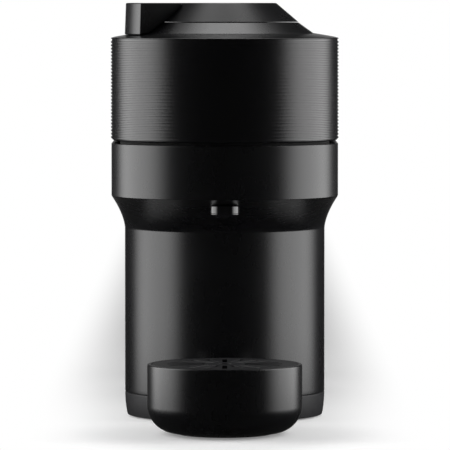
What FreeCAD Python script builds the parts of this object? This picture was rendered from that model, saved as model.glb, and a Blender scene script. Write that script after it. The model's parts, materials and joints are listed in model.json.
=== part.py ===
"""Pod coffee machine: a parametric FreeCAD assembly of separate sub-parts.

Millimetres, +Z up, +X to the user's right, the cup side faces -Y. The origin is under the middle of the
machine, on the surface that it stands on. Run it as a FreeCAD macro; it writes parts/NODE.step.

The machine stands on a long base. From front to back it carries a round cup stand, a column with the
heater, a bin for used capsules, a rear housing with the pump and a half-round water tank. A neck on the
column flares out to a band that holds the brewing bowl, and a ribbed head is hinged behind it. The head
holds the motor that spins the capsule, and a lever on its top turns the cage that locks it.
"""
import FreeCAD
import Part
import Sketcher
import math
import os

DOC = FreeCAD.newDocument("CoffeeMachine")
SHEET = DOC.addObject("Spreadsheet::Sheet", "Sizes")
VECTOR = FreeCAD.Vector
SUB_PARTS = []

DIMENSIONS = (
    # the outline in plan
    ("drum_radius", 45.6, "cup stand, a round drum"),
    ("drum_gap", 13.0, "between the cup stand and the column"),
    ("column_radius", 61.3, "round front of the column and round back of the tank"),
    ("body_run", 199.2, "from the column's axis to the tank's axis"),
    ("head_radius", 68.0, "round front of the band and the head"),
    ("head_overhang", 76.2, "front of the head in front of the column"),
    ("head_run", 110.0, "from the head's axis to its back face"),
    ("head_corner", 30.0, "round back corners of the head and the band"),
    ("bin_length", 82.0, "capsule bin, front to back"),
    # heights above the surface
    ("foot_height", 0.8, "gap under the base"),
    ("skirt_top", 15.0, "top of the base skirt"),
    ("cove_bottom", 115.0, "where the neck starts to flare"),
    ("band_bottom", 138.0, "lower edge of the smooth band"),
    ("band_top", 169.5, "upper edge of the smooth band"),
    ("head_rim", 232.3, "outer top edge of the ribbed head"),
    ("rear_top", 160.0, "top of the bin, the rear housing and the tank"),
    ("drum_height", 41.0, "top of the cup stand"),
    ("tank_foot", 30.0, "underside of the water tank"),
    # the head's top
    ("head_gap", 1.5, "parting gap between the band and the head"),
    ("shoulder_rise", 2.5, "slope of the head's top, outer edge to cap"),
    ("cap_inset", 14.8, "width of the sloping shoulder"),
    ("cap_step", 6.6, "height of the cap's cone"),
    ("cap_draw", 9.2, "how far the cap's cone draws in"),
    ("lever_height", 11.3, "height of the lever's cone"),
    ("lever_draw", 13.3, "how far the lever's cone draws in"),
    ("lever_reach", 59.0, "radius of the lever arm's outer end"),
    ("lever_slope", 0.479, "how the arm widens outwards, per side"),
    ("lever_root", 8.8, "half width of the arm on the axis"),
    ("lever_gap", 0.3, "running gap under the lever's arm"),
    # ribs
    ("rib_depth", 0.6, "depth of the grooves between ribs"),
    ("rib_land", 1.2, "height of one rib"),
    ("rib_pitch", 2.03, "rib to rib"),
    ("rib_count", 29.0, "number of ribs"),
    # walls and fits
    ("wall", 2.5, "moulded walls"),
    ("thin_wall", 2.0, "walls of the tank, the bin and the trays"),
    ("fit", 0.3, "gap between parts that lie together"),
    ("part_gap", 0.5, "gap between neighbouring housings"),
    ("spin_gap", 0.1, "gap of bearings on their seats"),
    ("drum_fillet", 16.0, "round lower edge of the cup stand"),
    # hinge of the head
    ("hinge_reach", 8.0, "hinge axis behind the head's back face"),
    ("knuckle_radius", 5.0, "hinge knuckles"),
    ("pin_radius", 2.5, "hinge pin"),
    ("hinge_half", 17.5, "half length of the head's knuckle"),
    ("ear_width", 10.0, "each fixed knuckle"),
    # brewing unit
    ("bowl_radius", 34.4, "outside of the capsule bowl"),
    ("bowl_slope", 12.4, "how far the bowl draws in towards its floor"),
    ("bowl_flange", 36.3, "flange round the capsule bowl"),
    ("bowl_depth", 32.2, "from the bowl's rim to its lowest point"),
    ("bowl_wall", 3.0, "bowl wall at the rim"),
    ("ball_radius", 1.15, "balls of the bowl bearing"),
    ("ball_count", 20.0, "balls in the bowl bearing"),
    ("gutter_width", 7.0, "inside width of the coffee gutter"),
    ("deck_drop", 3.5, "deck under the band's upper edge"),
    ("deck_thickness", 3.0, "brewing deck"),
    ("spout_radius", 8.65, "coffee spout"),
    ("spout_bore", 2.3, "bore of the coffee spout"),
    ("spout_height", 7.3, "visible height of the spout"),
    ("spout_reach", 46.0, "spout in front of the brewing axis"),
    ("chute_width", 66.0, "inside width of the capsule chute"),
    ("chute_drop", 45.0, "fall of the capsule chute"),
    # motor and lock
    ("motor_radius", 30.0, "motor can"),
    ("motor_height", 30.0, "motor can"),
    ("shaft_radius", 4.0, "hollow motor shaft"),
    ("cage_radius", 49.5, "outside of the lock cage"),
    ("cage_wall", 3.5, "legs of the lock cage"),
    ("plate_radius", 31.0, "plate that presses on the capsule"),
    ("sleeve_radius", 24.5, "outside of the lever's sleeve"),
    ("sleeve_wall", 2.5, "lever's sleeve"),
    ("button_radius", 19.0, "start button"),
    ("button_travel", 1.5, "start button"),
    # water
    ("hose_radius", 3.0, "water hoses"),
    ("pump_radius", 17.0, "pump coil"),
    ("pump_length", 50.0, "pump coil"),
    ("meter_radius", 14.0, "flow meter"),
    ("neck_bore", 5.0, "tank outlet"),
    ("gland_bore", 2.8, "bore of the mains cable gland"),
    # small hardware
    ("foot_radius", 7.0, "rubber feet"),
    ("screw_radius", 1.5, "housing screws"),
    ("boss_radius", 4.0, "screw bosses"),
)


class Size:
    """A number together with the sheet formula that gives it."""

    def __init__(self, value, text):
        self.value = value
        self.text = text

    def __add__(self, other):
        other = as_size(other)
        return Size(self.value + other.value, f"({self.text} + {other.text})")

    def __sub__(self, other):
        other = as_size(other)
        return Size(self.value - other.value, f"({self.text} - {other.text})")

    def __mul__(self, other):
        other = as_size(other)
        return Size(self.value * other.value, f"({self.text} * {other.text})")

    def __truediv__(self, other):
        other = as_size(other)
        return Size(self.value / other.value, f"({self.text} / {other.text})")

    def __neg__(self):
        return Size(-self.value, f"(0 - {self.text})")

    def __radd__(self, other):
        return as_size(other) + self

    def __rsub__(self, other):
        return as_size(other) - self

    def __rmul__(self, other):
        return as_size(other) * self


def as_size(item):
    """Plain numbers become sizes with a formula of their own."""
    return item if isinstance(item, Size) else Size(float(item), repr(float(item)))


class SheetSizes:
    """The driving dimensions, each a Size bound to its cell."""

    def __init__(self, rows):
        for row, (name, value, note) in enumerate(rows, start=1):
            SHEET.set(f"A{row}", name)
            SHEET.set(f"B{row}", str(value))
            SHEET.set(f"C{row}", note)
            SHEET.setAlias(f"B{row}", name)
            setattr(self, name, Size(float(value), f"Sizes.{name}"))


dim = SheetSizes(DIMENSIONS)

# ---------------------------------------------------------------- places worked out from the dimensions

depth = 2 * dim.drum_radius + dim.drum_gap + 2 * dim.column_radius + dim.body_run
front = -depth / 2
drum_y = front + dim.drum_radius
column_front = drum_y + dim.drum_radius + dim.drum_gap
column_y = column_front + dim.column_radius
tank_y = column_y + dim.body_run
head_front = column_front - dim.head_overhang
head_y = head_front + dim.head_radius
head_back = head_y + dim.head_run
hinge_y = head_back + dim.hinge_reach
hinge_z = dim.band_top + dim.head_gap / 2
column_back = hinge_y + dim.knuckle_radius + dim.part_gap
bin_front = column_back + dim.part_gap
bin_back = bin_front + dim.bin_length
rear_front = bin_back + dim.part_gap
tank_front = tank_y - 6
rear_back = tank_front - dim.part_gap
rear_y = (rear_front + rear_back) / 2
head_bottom = dim.band_top + dim.head_gap
cap_floor = dim.head_rim + dim.shoulder_rise
cap_top = cap_floor + dim.cap_step
cap_radius = dim.head_radius - dim.cap_inset
lever_low = cap_top + dim.fit
lever_top = lever_low + dim.lever_height
lever_radius = cap_radius - dim.cap_draw
deck_top = dim.band_top - dim.deck_drop
deck_low = deck_top - dim.deck_thickness
bowl_rim = deck_top - 0.8
bearing_top = bowl_rim - 8.2
bearing_low = bearing_top - 5.0
ball_ring = dim.bowl_radius + dim.fit + dim.ball_radius
race_inner = ball_ring + dim.ball_radius + dim.spin_gap
race_outer = race_inner + 2.2
gutter_inner = race_outer + dim.spin_gap + 2.0
gutter_outer = gutter_inner + dim.gutter_width
gutter_floor = bearing_low - 2.0
spout_y = head_y - dim.spout_reach
spout_top = dim.band_bottom - 3.8
floor_low = head_bottom + 0.5
floor_top = floor_low + dim.wall
motor_low = floor_top + 15.0
motor_top = motor_low + dim.motor_height
cage_low = floor_low + 1.1
cage_floor = motor_top + 7.0
sleeve_inner = dim.sleeve_radius - dim.sleeve_wall
plate_top = dim.foot_height + dim.wall
bed_low = dim.skirt_top - dim.wall
inner_radius = dim.column_radius - dim.wall
HOSE_BEND = 6.0
BASE_SLOPE = 1.0


# ---------------------------------------------------------------- ways of making a solid

def bind(feature, path, size):
    """Ties one property of a feature to the sheet."""
    feature.setExpression(path, as_size(size).text)


def keep(feature):
    """Marks a feature as one finished sub-part."""
    SUB_PARTS.append(feature)
    return feature


def block(name, x, y, z):
    """A box between two faces on each axis."""
    made = DOC.addObject("Part::Box", name)
    for side, axis, (low, high) in (("Length", "x", x), ("Width", "y", y), ("Height", "z", z)):
        bind(made, side, as_size(high) - low)
        bind(made, f"Placement.Base.{axis}", low)
    return made


def rod(name, radius, span, at=(0, head_y), axis="z"):
    """A round bar along one axis; at holds its two other coordinates, in x, y, z order."""
    made = DOC.addObject("Part::Cylinder", name)
    bind(made, "Radius", radius)
    bind(made, "Height", as_size(span[1]) - span[0])
    turn = {"x": (VECTOR(0, 1, 0), 90), "y": (VECTOR(1, 0, 0), -90), "z": (VECTOR(0, 0, 1), 0)}[axis]
    made.Placement.Rotation = FreeCAD.Rotation(*turn)
    others = [other for other in "xyz" if other != axis]
    bind(made, f"Placement.Base.{axis}", span[0])
    for other, place in zip(others, at):
        bind(made, f"Placement.Base.{other}", place)
    return made


def cone(name, low_radius, high_radius, span, at=(0, head_y)):
    """An upright cone between two radii."""
    made = DOC.addObject("Part::Cone", name)
    bind(made, "Radius1", low_radius)
    bind(made, "Radius2", high_radius)
    bind(made, "Height", as_size(span[1]) - span[0])
    for axis, place in zip("xyz", (at[0], at[1], span[0])):
        bind(made, f"Placement.Base.{axis}", place)
    return made


def fuse(name, *shapes):
    """Joins shapes; loose ones stay a group of separate solids."""
    made = DOC.addObject("Part::MultiFuse", name)
    made.Shapes = list(shapes)
    return made


def cut(name, base, *tools):
    """Takes the tools away from the base."""
    made = DOC.addObject("Part::Cut", name)
    made.Base = base
    made.Tool = tools[0] if len(tools) == 1 else fuse(name + "_tools", *tools)
    return made


def common(name, *shapes):
    """What all the shapes share."""
    made = DOC.addObject("Part::MultiCommon", name)
    made.Shapes = list(shapes)
    return made


def tube(name, outer, inner, span, at=(0, head_y), axis="z"):
    """A straight round tube."""
    bore_span = (as_size(span[0]) - 1, as_size(span[1]) + 1)
    return cut(
        name, rod(name + "_outside", outer, span, at, axis),
        rod(name + "_bore", inner, bore_span, at, axis),
    )


def new_body(name):
    """A PartDesign body."""
    return DOC.addObject("PartDesign::Body", name)


def add_sketch(body, name, plane="XY_Plane", height=None):
    """A sketch on one of the body's own origin planes, lifted by height."""
    sketch = body.newObject("Sketcher::SketchObject", name)
    support = next(item for item in body.Origin.OriginFeatures if item.Role == plane)
    sketch.AttachmentSupport = [(support, "")]
    sketch.MapMode = "FlatFace"
    if height is not None:
        bind(sketch, "AttachmentOffset.Base.z", height)
    return sketch


def fix(sketch, constraint, size):
    """Adds one dimension to a sketch and ties it to the sheet."""
    number = sketch.addConstraint(Sketcher.Constraint(*constraint, as_size(size).value))
    bind(sketch, f"Constraints[{number}]", size)


def draw_outline(sketch, corners):
    """A closed outline of straight lines through (across, up) corners."""
    corners = [(as_size(across), as_size(up)) for across, up in corners]
    ends = corners[1:] + corners[:1]
    for (across, up), (next_across, next_up) in zip(corners, ends):
        start = VECTOR(across.value, up.value, 0)
        sketch.addGeometry(Part.LineSegment(start, VECTOR(next_across.value, next_up.value, 0)))
    for line in range(len(corners)):
        sketch.addConstraint(Sketcher.Constraint("Coincident", line, 2, (line + 1) % len(corners), 1))
    for line, (across, up) in enumerate(corners):
        fix(sketch, ("DistanceX", -1, 1, line, 1), across)
        fix(sketch, ("DistanceY", -1, 1, line, 1), up)


def draw_arc(sketch, across, up, radius, start, end):
    """A circular arc, with its angles in degrees."""
    circle = Part.Circle(
        VECTOR(as_size(across).value, as_size(up).value, 0), VECTOR(0, 0, 1), as_size(radius).value,
    )
    sketch.addGeometry(Part.ArcOfCircle(circle, math.radians(start), math.radians(end)))


def draw_line(sketch, start, end):
    """A straight line between two (across, up) points."""
    points = [VECTOR(as_size(across).value, as_size(up).value, 0) for across, up in (start, end)]
    sketch.addGeometry(Part.LineSegment(*points))


def draw_head_plan(sketch, radius, axis, back, corner):
    """Half round in front, straight sides and two round back corners."""
    inside = radius - corner
    draw_arc(sketch, 0, axis, radius, 180, 360)
    draw_line(sketch, (radius, axis), (radius, back - corner))
    draw_arc(sketch, inside, back - corner, corner, 0, 90)
    draw_line(sketch, (inside, back), (-inside, back))
    draw_arc(sketch, -inside, back - corner, corner, 90, 180)
    draw_line(sketch, (-radius, back - corner), (-radius, axis))
    for piece in range(6):
        sketch.addConstraint(Sketcher.Constraint("Tangent", piece, 2, (piece + 1) % 6, 1))
    sketch.addConstraint(Sketcher.Constraint("PointOnObject", 0, 3, -2))
    sketch.addConstraint(Sketcher.Constraint("Horizontal", 3))
    sketch.addConstraint(Sketcher.Constraint("Vertical", 1))
    sketch.addConstraint(Sketcher.Constraint("Vertical", 5))
    sketch.addConstraint(Sketcher.Constraint("Equal", 2, 4))
    fix(sketch, ("Radius", 0), radius)
    fix(sketch, ("Radius", 2), corner)
    fix(sketch, ("DistanceY", -1, 1, 0, 3), axis)
    fix(sketch, ("DistanceY", -1, 1, 3, 1), back)


def draw_stadium(sketch, radius, front_axis, back_axis):
    """Two half circles joined by straight sides."""
    draw_arc(sketch, 0, front_axis, radius, 180, 360)
    draw_line(sketch, (radius, front_axis), (radius, back_axis))
    draw_arc(sketch, 0, back_axis, radius, 0, 180)
    draw_line(sketch, (-radius, back_axis), (-radius, front_axis))
    for piece in range(4):
        sketch.addConstraint(Sketcher.Constraint("Tangent", piece, 2, (piece + 1) % 4, 1))
    sketch.addConstraint(Sketcher.Constraint("PointOnObject", 0, 3, -2))
    sketch.addConstraint(Sketcher.Constraint("Vertical", 1))
    sketch.addConstraint(Sketcher.Constraint("Equal", 0, 2))
    fix(sketch, ("Radius", 0), radius)
    fix(sketch, ("DistanceY", -1, 1, 0, 3), front_axis)
    fix(sketch, ("DistanceY", -1, 1, 2, 3), back_axis)


def draw_half_round(sketch, radius, axis, flat):
    """A half circle at the back, closed by a straight front at the height flat."""
    draw_arc(sketch, 0, axis, radius, 0, 180)
    draw_line(sketch, (-radius, axis), (-radius, flat))
    draw_line(sketch, (-radius, flat), (radius, flat))
    draw_line(sketch, (radius, flat), (radius, axis))
    sketch.addConstraint(Sketcher.Constraint("Tangent", 0, 2, 1, 1))
    sketch.addConstraint(Sketcher.Constraint("Coincident", 1, 2, 2, 1))
    sketch.addConstraint(Sketcher.Constraint("Coincident", 2, 2, 3, 1))
    sketch.addConstraint(Sketcher.Constraint("Tangent", 3, 2, 0, 1))
    sketch.addConstraint(Sketcher.Constraint("PointOnObject", 0, 3, -2))
    sketch.addConstraint(Sketcher.Constraint("Vertical", 1))
    sketch.addConstraint(Sketcher.Constraint("Vertical", 3))
    sketch.addConstraint(Sketcher.Constraint("Horizontal", 2))
    fix(sketch, ("Radius", 0), radius)
    fix(sketch, ("DistanceY", -1, 1, 0, 3), axis)
    fix(sketch, ("DistanceY", -1, 1, 2, 1), flat)


def extrude(body, sketch, name, height):
    """Pads a sketch upwards."""
    pad = body.newObject("PartDesign::Pad", name)
    pad.Profile = sketch
    bind(pad, "Length", height)
    return pad


def padded(name, draw, sizes, span):
    """A body padded from one plan outline, between two heights."""
    body = new_body(name)
    sketch = add_sketch(body, name + "_plan", height=as_size(span[0]))
    draw(sketch, *sizes)
    extrude(body, sketch, name + "_pad", as_size(span[1]) - span[0])
    return body


def head_slab(name, inset, span):
    """A slab with the head's plan, drawn in by inset."""
    sizes = (dim.head_radius - inset, head_y, head_back - inset, dim.head_corner - inset)
    return padded(name, draw_head_plan, sizes, span)


def lofted(name, draw, sections):
    """A body through several plan outlines, each (height, sizes)."""
    body = new_body(name)
    sketches = []
    for number, (height, sizes) in enumerate(sections):
        sketch = add_sketch(body, f"{name}_section_{number}", height=as_size(height))
        draw(sketch, *sizes)
        sketches.append(sketch)
    loft = body.newObject("PartDesign::AdditiveLoft", name + "_loft")
    loft.Profile = sketches[0]
    loft.Sections = sketches[1:]
    return body


def turned(name, outline, at=(0, head_y)):
    """A body turned about an upright axis from (radius, height) corners."""
    body = new_body(name)
    sketch = add_sketch(body, name + "_profile", "XZ_Plane")
    draw_outline(sketch, outline)
    spin = body.newObject("PartDesign::Revolution", name + "_turn")
    spin.Profile = sketch
    spin.ReferenceAxis = (sketch, ["V_Axis"])
    spin.Angle = 360
    bind(body, "Placement.Base.x", at[0])
    bind(body, "Placement.Base.y", at[1])
    return body


def side_cut(name, outline, half_width):
    """A body with a side outline of (y, z) corners, as wide as twice half_width."""
    body = new_body(name)
    sketch = add_sketch(body, name + "_side", "YZ_Plane")
    draw_outline(sketch, outline)
    pad = extrude(body, sketch, name + "_pad", half_width * 2)
    pad.Midplane = True
    return body


def spoke(name, reach, half_width, span, angle, axis_y=head_y):
    """A block that points outwards from an upright axis at an angle in degrees."""
    made = DOC.addObject("Part::Box", name)
    low, high = reach
    bind(made, "Length", as_size(high) - low)
    bind(made, "Width", as_size(half_width) * 2)
    bind(made, "Height", as_size(span[1]) - span[0])
    made.Placement.Rotation = FreeCAD.Rotation(VECTOR(0, 0, 1), angle)
    across, along = math.cos(math.radians(angle)), math.sin(math.radians(angle))
    bind(made, "Placement.Base.x", as_size(low) * across + as_size(half_width) * along)
    bind(made, "Placement.Base.y", axis_y + as_size(low) * along - as_size(half_width) * across)
    bind(made, "Placement.Base.z", span[0])
    return made


def hose(name, points, radius, bend=HOSE_BEND):
    """A round hose whose legs follow the axes, with a quarter ring at each corner."""
    points = [[as_size(part) for part in point] for point in points]
    legs = []
    for start, end in zip(points, points[1:]):
        axis = max(range(3), key=lambda k: abs(end[k].value - start[k].value))
        legs.append((axis, 1.0 if end[axis].value > start[axis].value else -1.0))
    pieces = []
    last = len(legs) - 1
    for number, (axis, sign) in enumerate(legs):
        low = points[number][axis] + (sign * bend if number > 0 else 0.0)
        high = points[number + 1][axis] - (sign * bend if number < last else 0.0)
        span = (low, high) if sign > 0 else (high, low)
        others = [points[number][k] for k in range(3) if k != axis]
        pieces.append(rod(f"{name}_leg_{number}", radius, span, others, "xyz"[axis]))
    for number in range(last):
        (axis, sign), (next_axis, next_sign) = legs[number], legs[number + 1]
        middle = list(points[number + 1])
        middle[axis] = middle[axis] - sign * bend
        middle[next_axis] = middle[next_axis] + next_sign * bend
        across, along = VECTOR(), VECTOR()
        across[next_axis] = -next_sign
        along[axis] = sign
        elbow = DOC.addObject("Part::Torus", f"{name}_elbow_{number}")
        bind(elbow, "Radius1", bend)
        bind(elbow, "Radius2", radius)
        elbow.Angle3 = 90
        elbow.Placement.Rotation = FreeCAD.Rotation(across, along, across.cross(along))
        for letter, place in zip("xyz", middle):
            bind(elbow, f"Placement.Base.{letter}", place)
        pieces.append(elbow)
    return fuse(name, *pieces)


# ---------------------------------------------------------------- base

tongue_half = 20.0
tongue_low = plate_top + dim.fit
tongue_top = tongue_low + 5
tongue_front = column_front - dim.drum_gap - 28
base_inner = dim.column_radius - BASE_SLOPE - dim.wall
outlet_y = tank_y + 20
duct_z = (plate_top + bed_low) / 2
pump_y = rear_y
pump_z = dim.skirt_top + 55
meter_x = 42.0
SCREW_PLACES = ((-36, column_y - 32), (36, column_y - 32), (-36, rear_front - 30), (36, rear_front - 30))
FOOT_PLACES = ((-40, column_y), (40, column_y), (-40, tank_y), (40, tank_y))


def base_slab(name, radius, span):
    """A slab with the plan of the whole base."""
    return padded(name, draw_stadium, (radius, column_y, tank_y), span)


plate_slab = base_slab("base_plate_slab", base_inner - dim.fit, (dim.foot_height, plate_top))
tongue_bar = block(
    "tongue_bar", (-tongue_half, tongue_half), (tongue_front, column_y), (tongue_low, tongue_top),
)
tongue_root = block(
    "tongue_root", (-tongue_half, tongue_half), (column_front + 6, column_y),
    (plate_top - 1, tongue_low + 1),
)
plate_holes = [
    rod(f"plate_hole_{number}", dim.screw_radius + dim.spin_gap, (dim.foot_height - 1, plate_top + 1), place)
    for number, place in enumerate(SCREW_PLACES)
]
plate_sinks = [
    rod(f"plate_sink_{number}", 3.1, (dim.foot_height - 1, dim.foot_height + 1.2), place)
    for number, place in enumerate(SCREW_PLACES)
]
keep(
    cut("base_plate", fuse("base_plate_blank", plate_slab, tongue_bar, tongue_root), *plate_holes, *plate_sinks),
)

keep(fuse("rubber_feet", *[
    rod(f"rubber_foot_{number}", dim.foot_radius, (0, dim.foot_height), place)
    for number, place in enumerate(FOOT_PLACES)
]))

keep(fuse("housing_screws", *[
    fuse(
        f"housing_screw_{number}",
        rod(f"screw_shank_{number}", dim.screw_radius, (dim.foot_height + 0.6, bed_low - 1), place),
        rod(f"screw_head_{number}", 2.8, (dim.foot_height, dim.foot_height + 1.1), place),
    )
    for number, place in enumerate(SCREW_PLACES)
]))

skirt_outside = lofted("skirt_outside", draw_stadium, (
    (dim.foot_height, (dim.column_radius - BASE_SLOPE, column_y, tank_y)),
    (dim.skirt_top, (dim.column_radius, column_y, tank_y)),
))
skirt_inside = base_slab("skirt_inside", base_inner, (dim.foot_height - 1, dim.skirt_top + 1))
tongue_slot = block(
    "tongue_slot",
    (-tongue_half - dim.fit, tongue_half + dim.fit), (column_front - 2, column_y),
    (dim.foot_height - 1, tongue_top + dim.fit),
)
gland_hole = rod(
    "gland_hole", dim.gland_bore + 1.4, (-dim.column_radius - 2, -base_inner + 2), (pump_y, duct_z), "x",
)
keep(cut("base_skirt", skirt_outside, skirt_inside, tongue_slot, gland_hole))

gland_pipe = rod(
    "gland_pipe", dim.gland_bore + 1.1, (-dim.column_radius - 3, -base_inner + 8), (pump_y, duct_z), "x",
)
gland_flange = rod(
    "gland_flange", dim.gland_bore + 2.6,
    (-dim.column_radius - 3, -dim.column_radius - 0.2), (pump_y, duct_z), "x",
)
gland_bore = rod(
    "gland_bore", dim.gland_bore, (-dim.column_radius - 4, -base_inner + 9), (pump_y, duct_z), "x",
)
keep(cut("cable_gland", fuse("gland_blank", gland_pipe, gland_flange), gland_bore))

tank_hose_hole = (0, outlet_y)
meter_hole = (-meter_x, pump_y)
riser_x = 45.0
pump_hole = (riser_x, pump_y)
heater_y = column_y - 22
heater_hole = (riser_x, heater_y)
bed_slab = base_slab("bed_slab", base_inner - dim.fit, (bed_low, dim.skirt_top))
bed_bosses = [
    rod(f"bed_boss_{number}", dim.boss_radius, (plate_top, bed_low + 1), place)
    for number, place in enumerate(SCREW_PLACES)
]
boss_holes = [
    rod(f"boss_hole_{number}", dim.screw_radius + dim.spin_gap, (plate_top - 1, bed_low), place)
    for number, place in enumerate(SCREW_PLACES)
]
hose_holes = [
    rod(f"bed_hole_{number}", dim.hose_radius + dim.fit, (bed_low - 1, dim.skirt_top + 1), place)
    for number, place in enumerate((tank_hose_hole, meter_hole, pump_hole, heater_hole))
]
keep(cut("base_deck", fuse("base_deck_blank", bed_slab, *bed_bosses), *boss_holes, *hose_holes))

# ---------------------------------------------------------------- column, neck and band in one moulding

back_corner = 4.0
COVE_STEPS = (1.0, 0.93, 0.83, 0.7, 0.55, 0.4, 0.25, 0.12, 0.0)


def column_slab(name, inset, span):
    """A slab with the column's plan, drawn in by inset."""
    sizes = (dim.column_radius - inset, column_y, column_back - inset, back_corner - inset)
    return padded(name, draw_head_plan, sizes, span)


def cove(name, inset, lift):
    """The flare from the column's plan up to the band's."""
    sections = []
    for step in COVE_STEPS:
        swell = (1 - step) ** 1.5
        radius = dim.column_radius + (dim.head_radius - dim.column_radius) * swell
        nose = column_front + (head_front - column_front) * swell
        back = column_back + (head_back - column_back) * swell
        corner = back_corner + (dim.head_corner - back_corner) * swell
        height = dim.band_bottom - (dim.band_bottom - dim.cove_bottom) * step + lift
        sections.append((height, (radius - inset, nose + radius, back - inset, corner - inset)))
    return lofted(name, draw_head_plan, sections)


body_outside = fuse(
    "body_outside",
    column_slab("column_outside", 0, (dim.skirt_top, dim.cove_bottom)),
    cove("cove_outside", 0, 0),
    head_slab("band_outside", 0, (dim.band_bottom, dim.band_top)),
    common(
        "back_outside",
        column_slab("back_slab", 0, (dim.cove_bottom, dim.rear_top)),
        block(
            "back_half", (-dim.head_radius, dim.head_radius), (head_back - 3, column_back + 1),
            (0, dim.band_top),
        ),
    ),
)
body_inside = fuse(
    "body_inside",
    column_slab("column_inside", dim.wall, (dim.skirt_top - 1, dim.cove_bottom + dim.wall)),
    cove("cove_inside", dim.wall, dim.wall),
    head_slab("band_inside", dim.wall, (dim.band_bottom + dim.wall, dim.band_top + 1)),
    block(
        "back_inside", (-inner_radius, inner_radius), (head_back - 5, column_back - dim.wall),
        (dim.cove_bottom - 1, dim.rear_top - dim.wall),
    ),
)
body_hollow = cut("body_hollow", body_outside, body_inside)
ledge = cut(
    "ledge",
    head_slab("ledge_outside", dim.wall - 0.5, (deck_low - 2, deck_low)),
    head_slab("ledge_inside", dim.wall + 3, (deck_low - 3, deck_low + 1)),
)
chute_outer = dim.chute_width / 2 + dim.thin_wall
chute_top = deck_low - 6
chute_low = chute_top - dim.chute_drop
chute_ceiling = dim.rear_top - 9
window_span = (chute_low - 2 - dim.fit, chute_ceiling + dim.fit)
window = block(
    "chute_window",
    (
        -chute_outer - dim.fit, chute_outer + dim.fit,
    ), (column_back - dim.wall - 1, column_back + 1), window_span,
)
spout_hole = rod("spout_hole", dim.spout_radius + dim.fit, (dim.cove_bottom, spout_top + 8), (0, spout_y))
keep(cut("body_shell", fuse("body_ledged", body_hollow, ledge), window, spout_hole))

# ---------------------------------------------------------------- rear housing, bin and tank seat

side = dim.column_radius
rear_box = block("rear_box", (-side, side), (rear_front, rear_back), (dim.skirt_top, dim.rear_top))
rear_room = block(
    "rear_room", (-inner_radius, inner_radius), (rear_front + dim.wall, rear_back - dim.wall),
    (dim.skirt_top - 1, dim.rear_top - dim.wall),
)
keep(cut("rear_shell", rear_box, rear_room))

bin_top = dim.rear_top - dim.wall - dim.fit
bin_low = dim.skirt_top + dim.fit
bin_box = block("bin_box", (-side, side), (bin_front, bin_back), (bin_low, bin_top))
bin_room = block(
    "bin_room", (-side + dim.thin_wall, side - dim.thin_wall),
    (bin_front + dim.thin_wall, bin_back - dim.thin_wall), (bin_low + dim.thin_wall, bin_top + 1),
)
bin_window = block(
    "bin_window", (-chute_outer, chute_outer), (bin_front - 1, bin_front + dim.thin_wall + 1), window_span,
)
keep(cut("capsule_bin", bin_box, bin_room, bin_window))
cover_plate = block(
    "cover_plate", (-side, side), (bin_front, bin_back), (dim.rear_top - dim.wall, dim.rear_top),
)
cover_rim = block(
    "cover_rim",
    (-side + dim.thin_wall + dim.fit, side - dim.thin_wall - dim.fit),
    (bin_front + dim.thin_wall + dim.fit, bin_back - dim.thin_wall - dim.fit),
    (bin_top - 3, dim.rear_top - dim.wall),
)
rim_room = block(
    "rim_room",
    (-side + 2 * dim.thin_wall + dim.fit, side - 2 * dim.thin_wall - dim.fit),
    (bin_front + 2 * dim.thin_wall + dim.fit, bin_back - 2 * dim.thin_wall - dim.fit),
    (bin_top - 4, dim.rear_top - dim.wall),
)
keep(cut("bin_cover", fuse("cover_blank", cover_plate, cover_rim), rim_room))


def half_round(name, radius, flat, span):
    """A slab with the tank's plan."""
    return padded(name, draw_half_round, (radius, tank_y, flat), span)


seat_top = dim.tank_foot - dim.fit
seat_outside = half_round("seat_outside", side, tank_front, (dim.skirt_top, seat_top))
seat_inside = half_round(
    "seat_inside", inner_radius, tank_front + dim.wall, (dim.skirt_top - 1, seat_top - dim.wall),
)
socket_radius = dim.neck_bore + 3
seat_socket = rod("seat_socket", socket_radius + 3, (dim.skirt_top, seat_top - 1), tank_hose_hole)
seat_bore = rod("seat_bore", socket_radius + dim.fit, (dim.skirt_top + 5, seat_top + 1), tank_hose_hole)
seat_drain = rod(
    "seat_drain", dim.hose_radius + dim.fit, (dim.skirt_top - 1, dim.skirt_top + 6), tank_hose_hole,
)
seat_shell = fuse("seat_shell", cut("seat_hollow", seat_outside, seat_inside), seat_socket)
keep(cut("tank_seat", seat_shell, seat_bore, seat_drain))

# ---------------------------------------------------------------- water tank

tank_rim = dim.rear_top - 3.0
lid_front = tank_front + 2.7
lid_bead = 1.25
tank_outside = half_round("tank_outside", side, tank_front, (dim.tank_foot, tank_rim))
tank_inside = half_round(
    "tank_inside", side - dim.thin_wall, tank_front + dim.thin_wall, (
        dim.tank_foot + dim.thin_wall, tank_rim + 1,
    ),
)
tank_neck = rod("tank_neck", socket_radius, (dim.tank_foot - 5, dim.tank_foot + 1), tank_hose_hole)
tank_outlet = rod("tank_outlet", dim.neck_bore, (dim.tank_foot - 6, dim.tank_foot + 3), tank_hose_hole)
keep(
    cut("water_tank", fuse("tank_shell", cut("tank_hollow", tank_outside, tank_inside), tank_neck), tank_outlet),
)

lid_pivot = lid_front + lid_bead
lid_plate = half_round("lid_plate", side, lid_pivot, (dim.rear_top - 2 * lid_bead, dim.rear_top))
lid_edge = rod("lid_edge", lid_bead, (-side, side), (lid_pivot, dim.rear_top - lid_bead), "x")
lid_finger = rod("lid_finger", 9, (dim.rear_top - 1.2, dim.rear_top + 1), (0, tank_y + side))
keep(cut("tank_lid", fuse("lid_plan", lid_plate, lid_edge), lid_finger))

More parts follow.
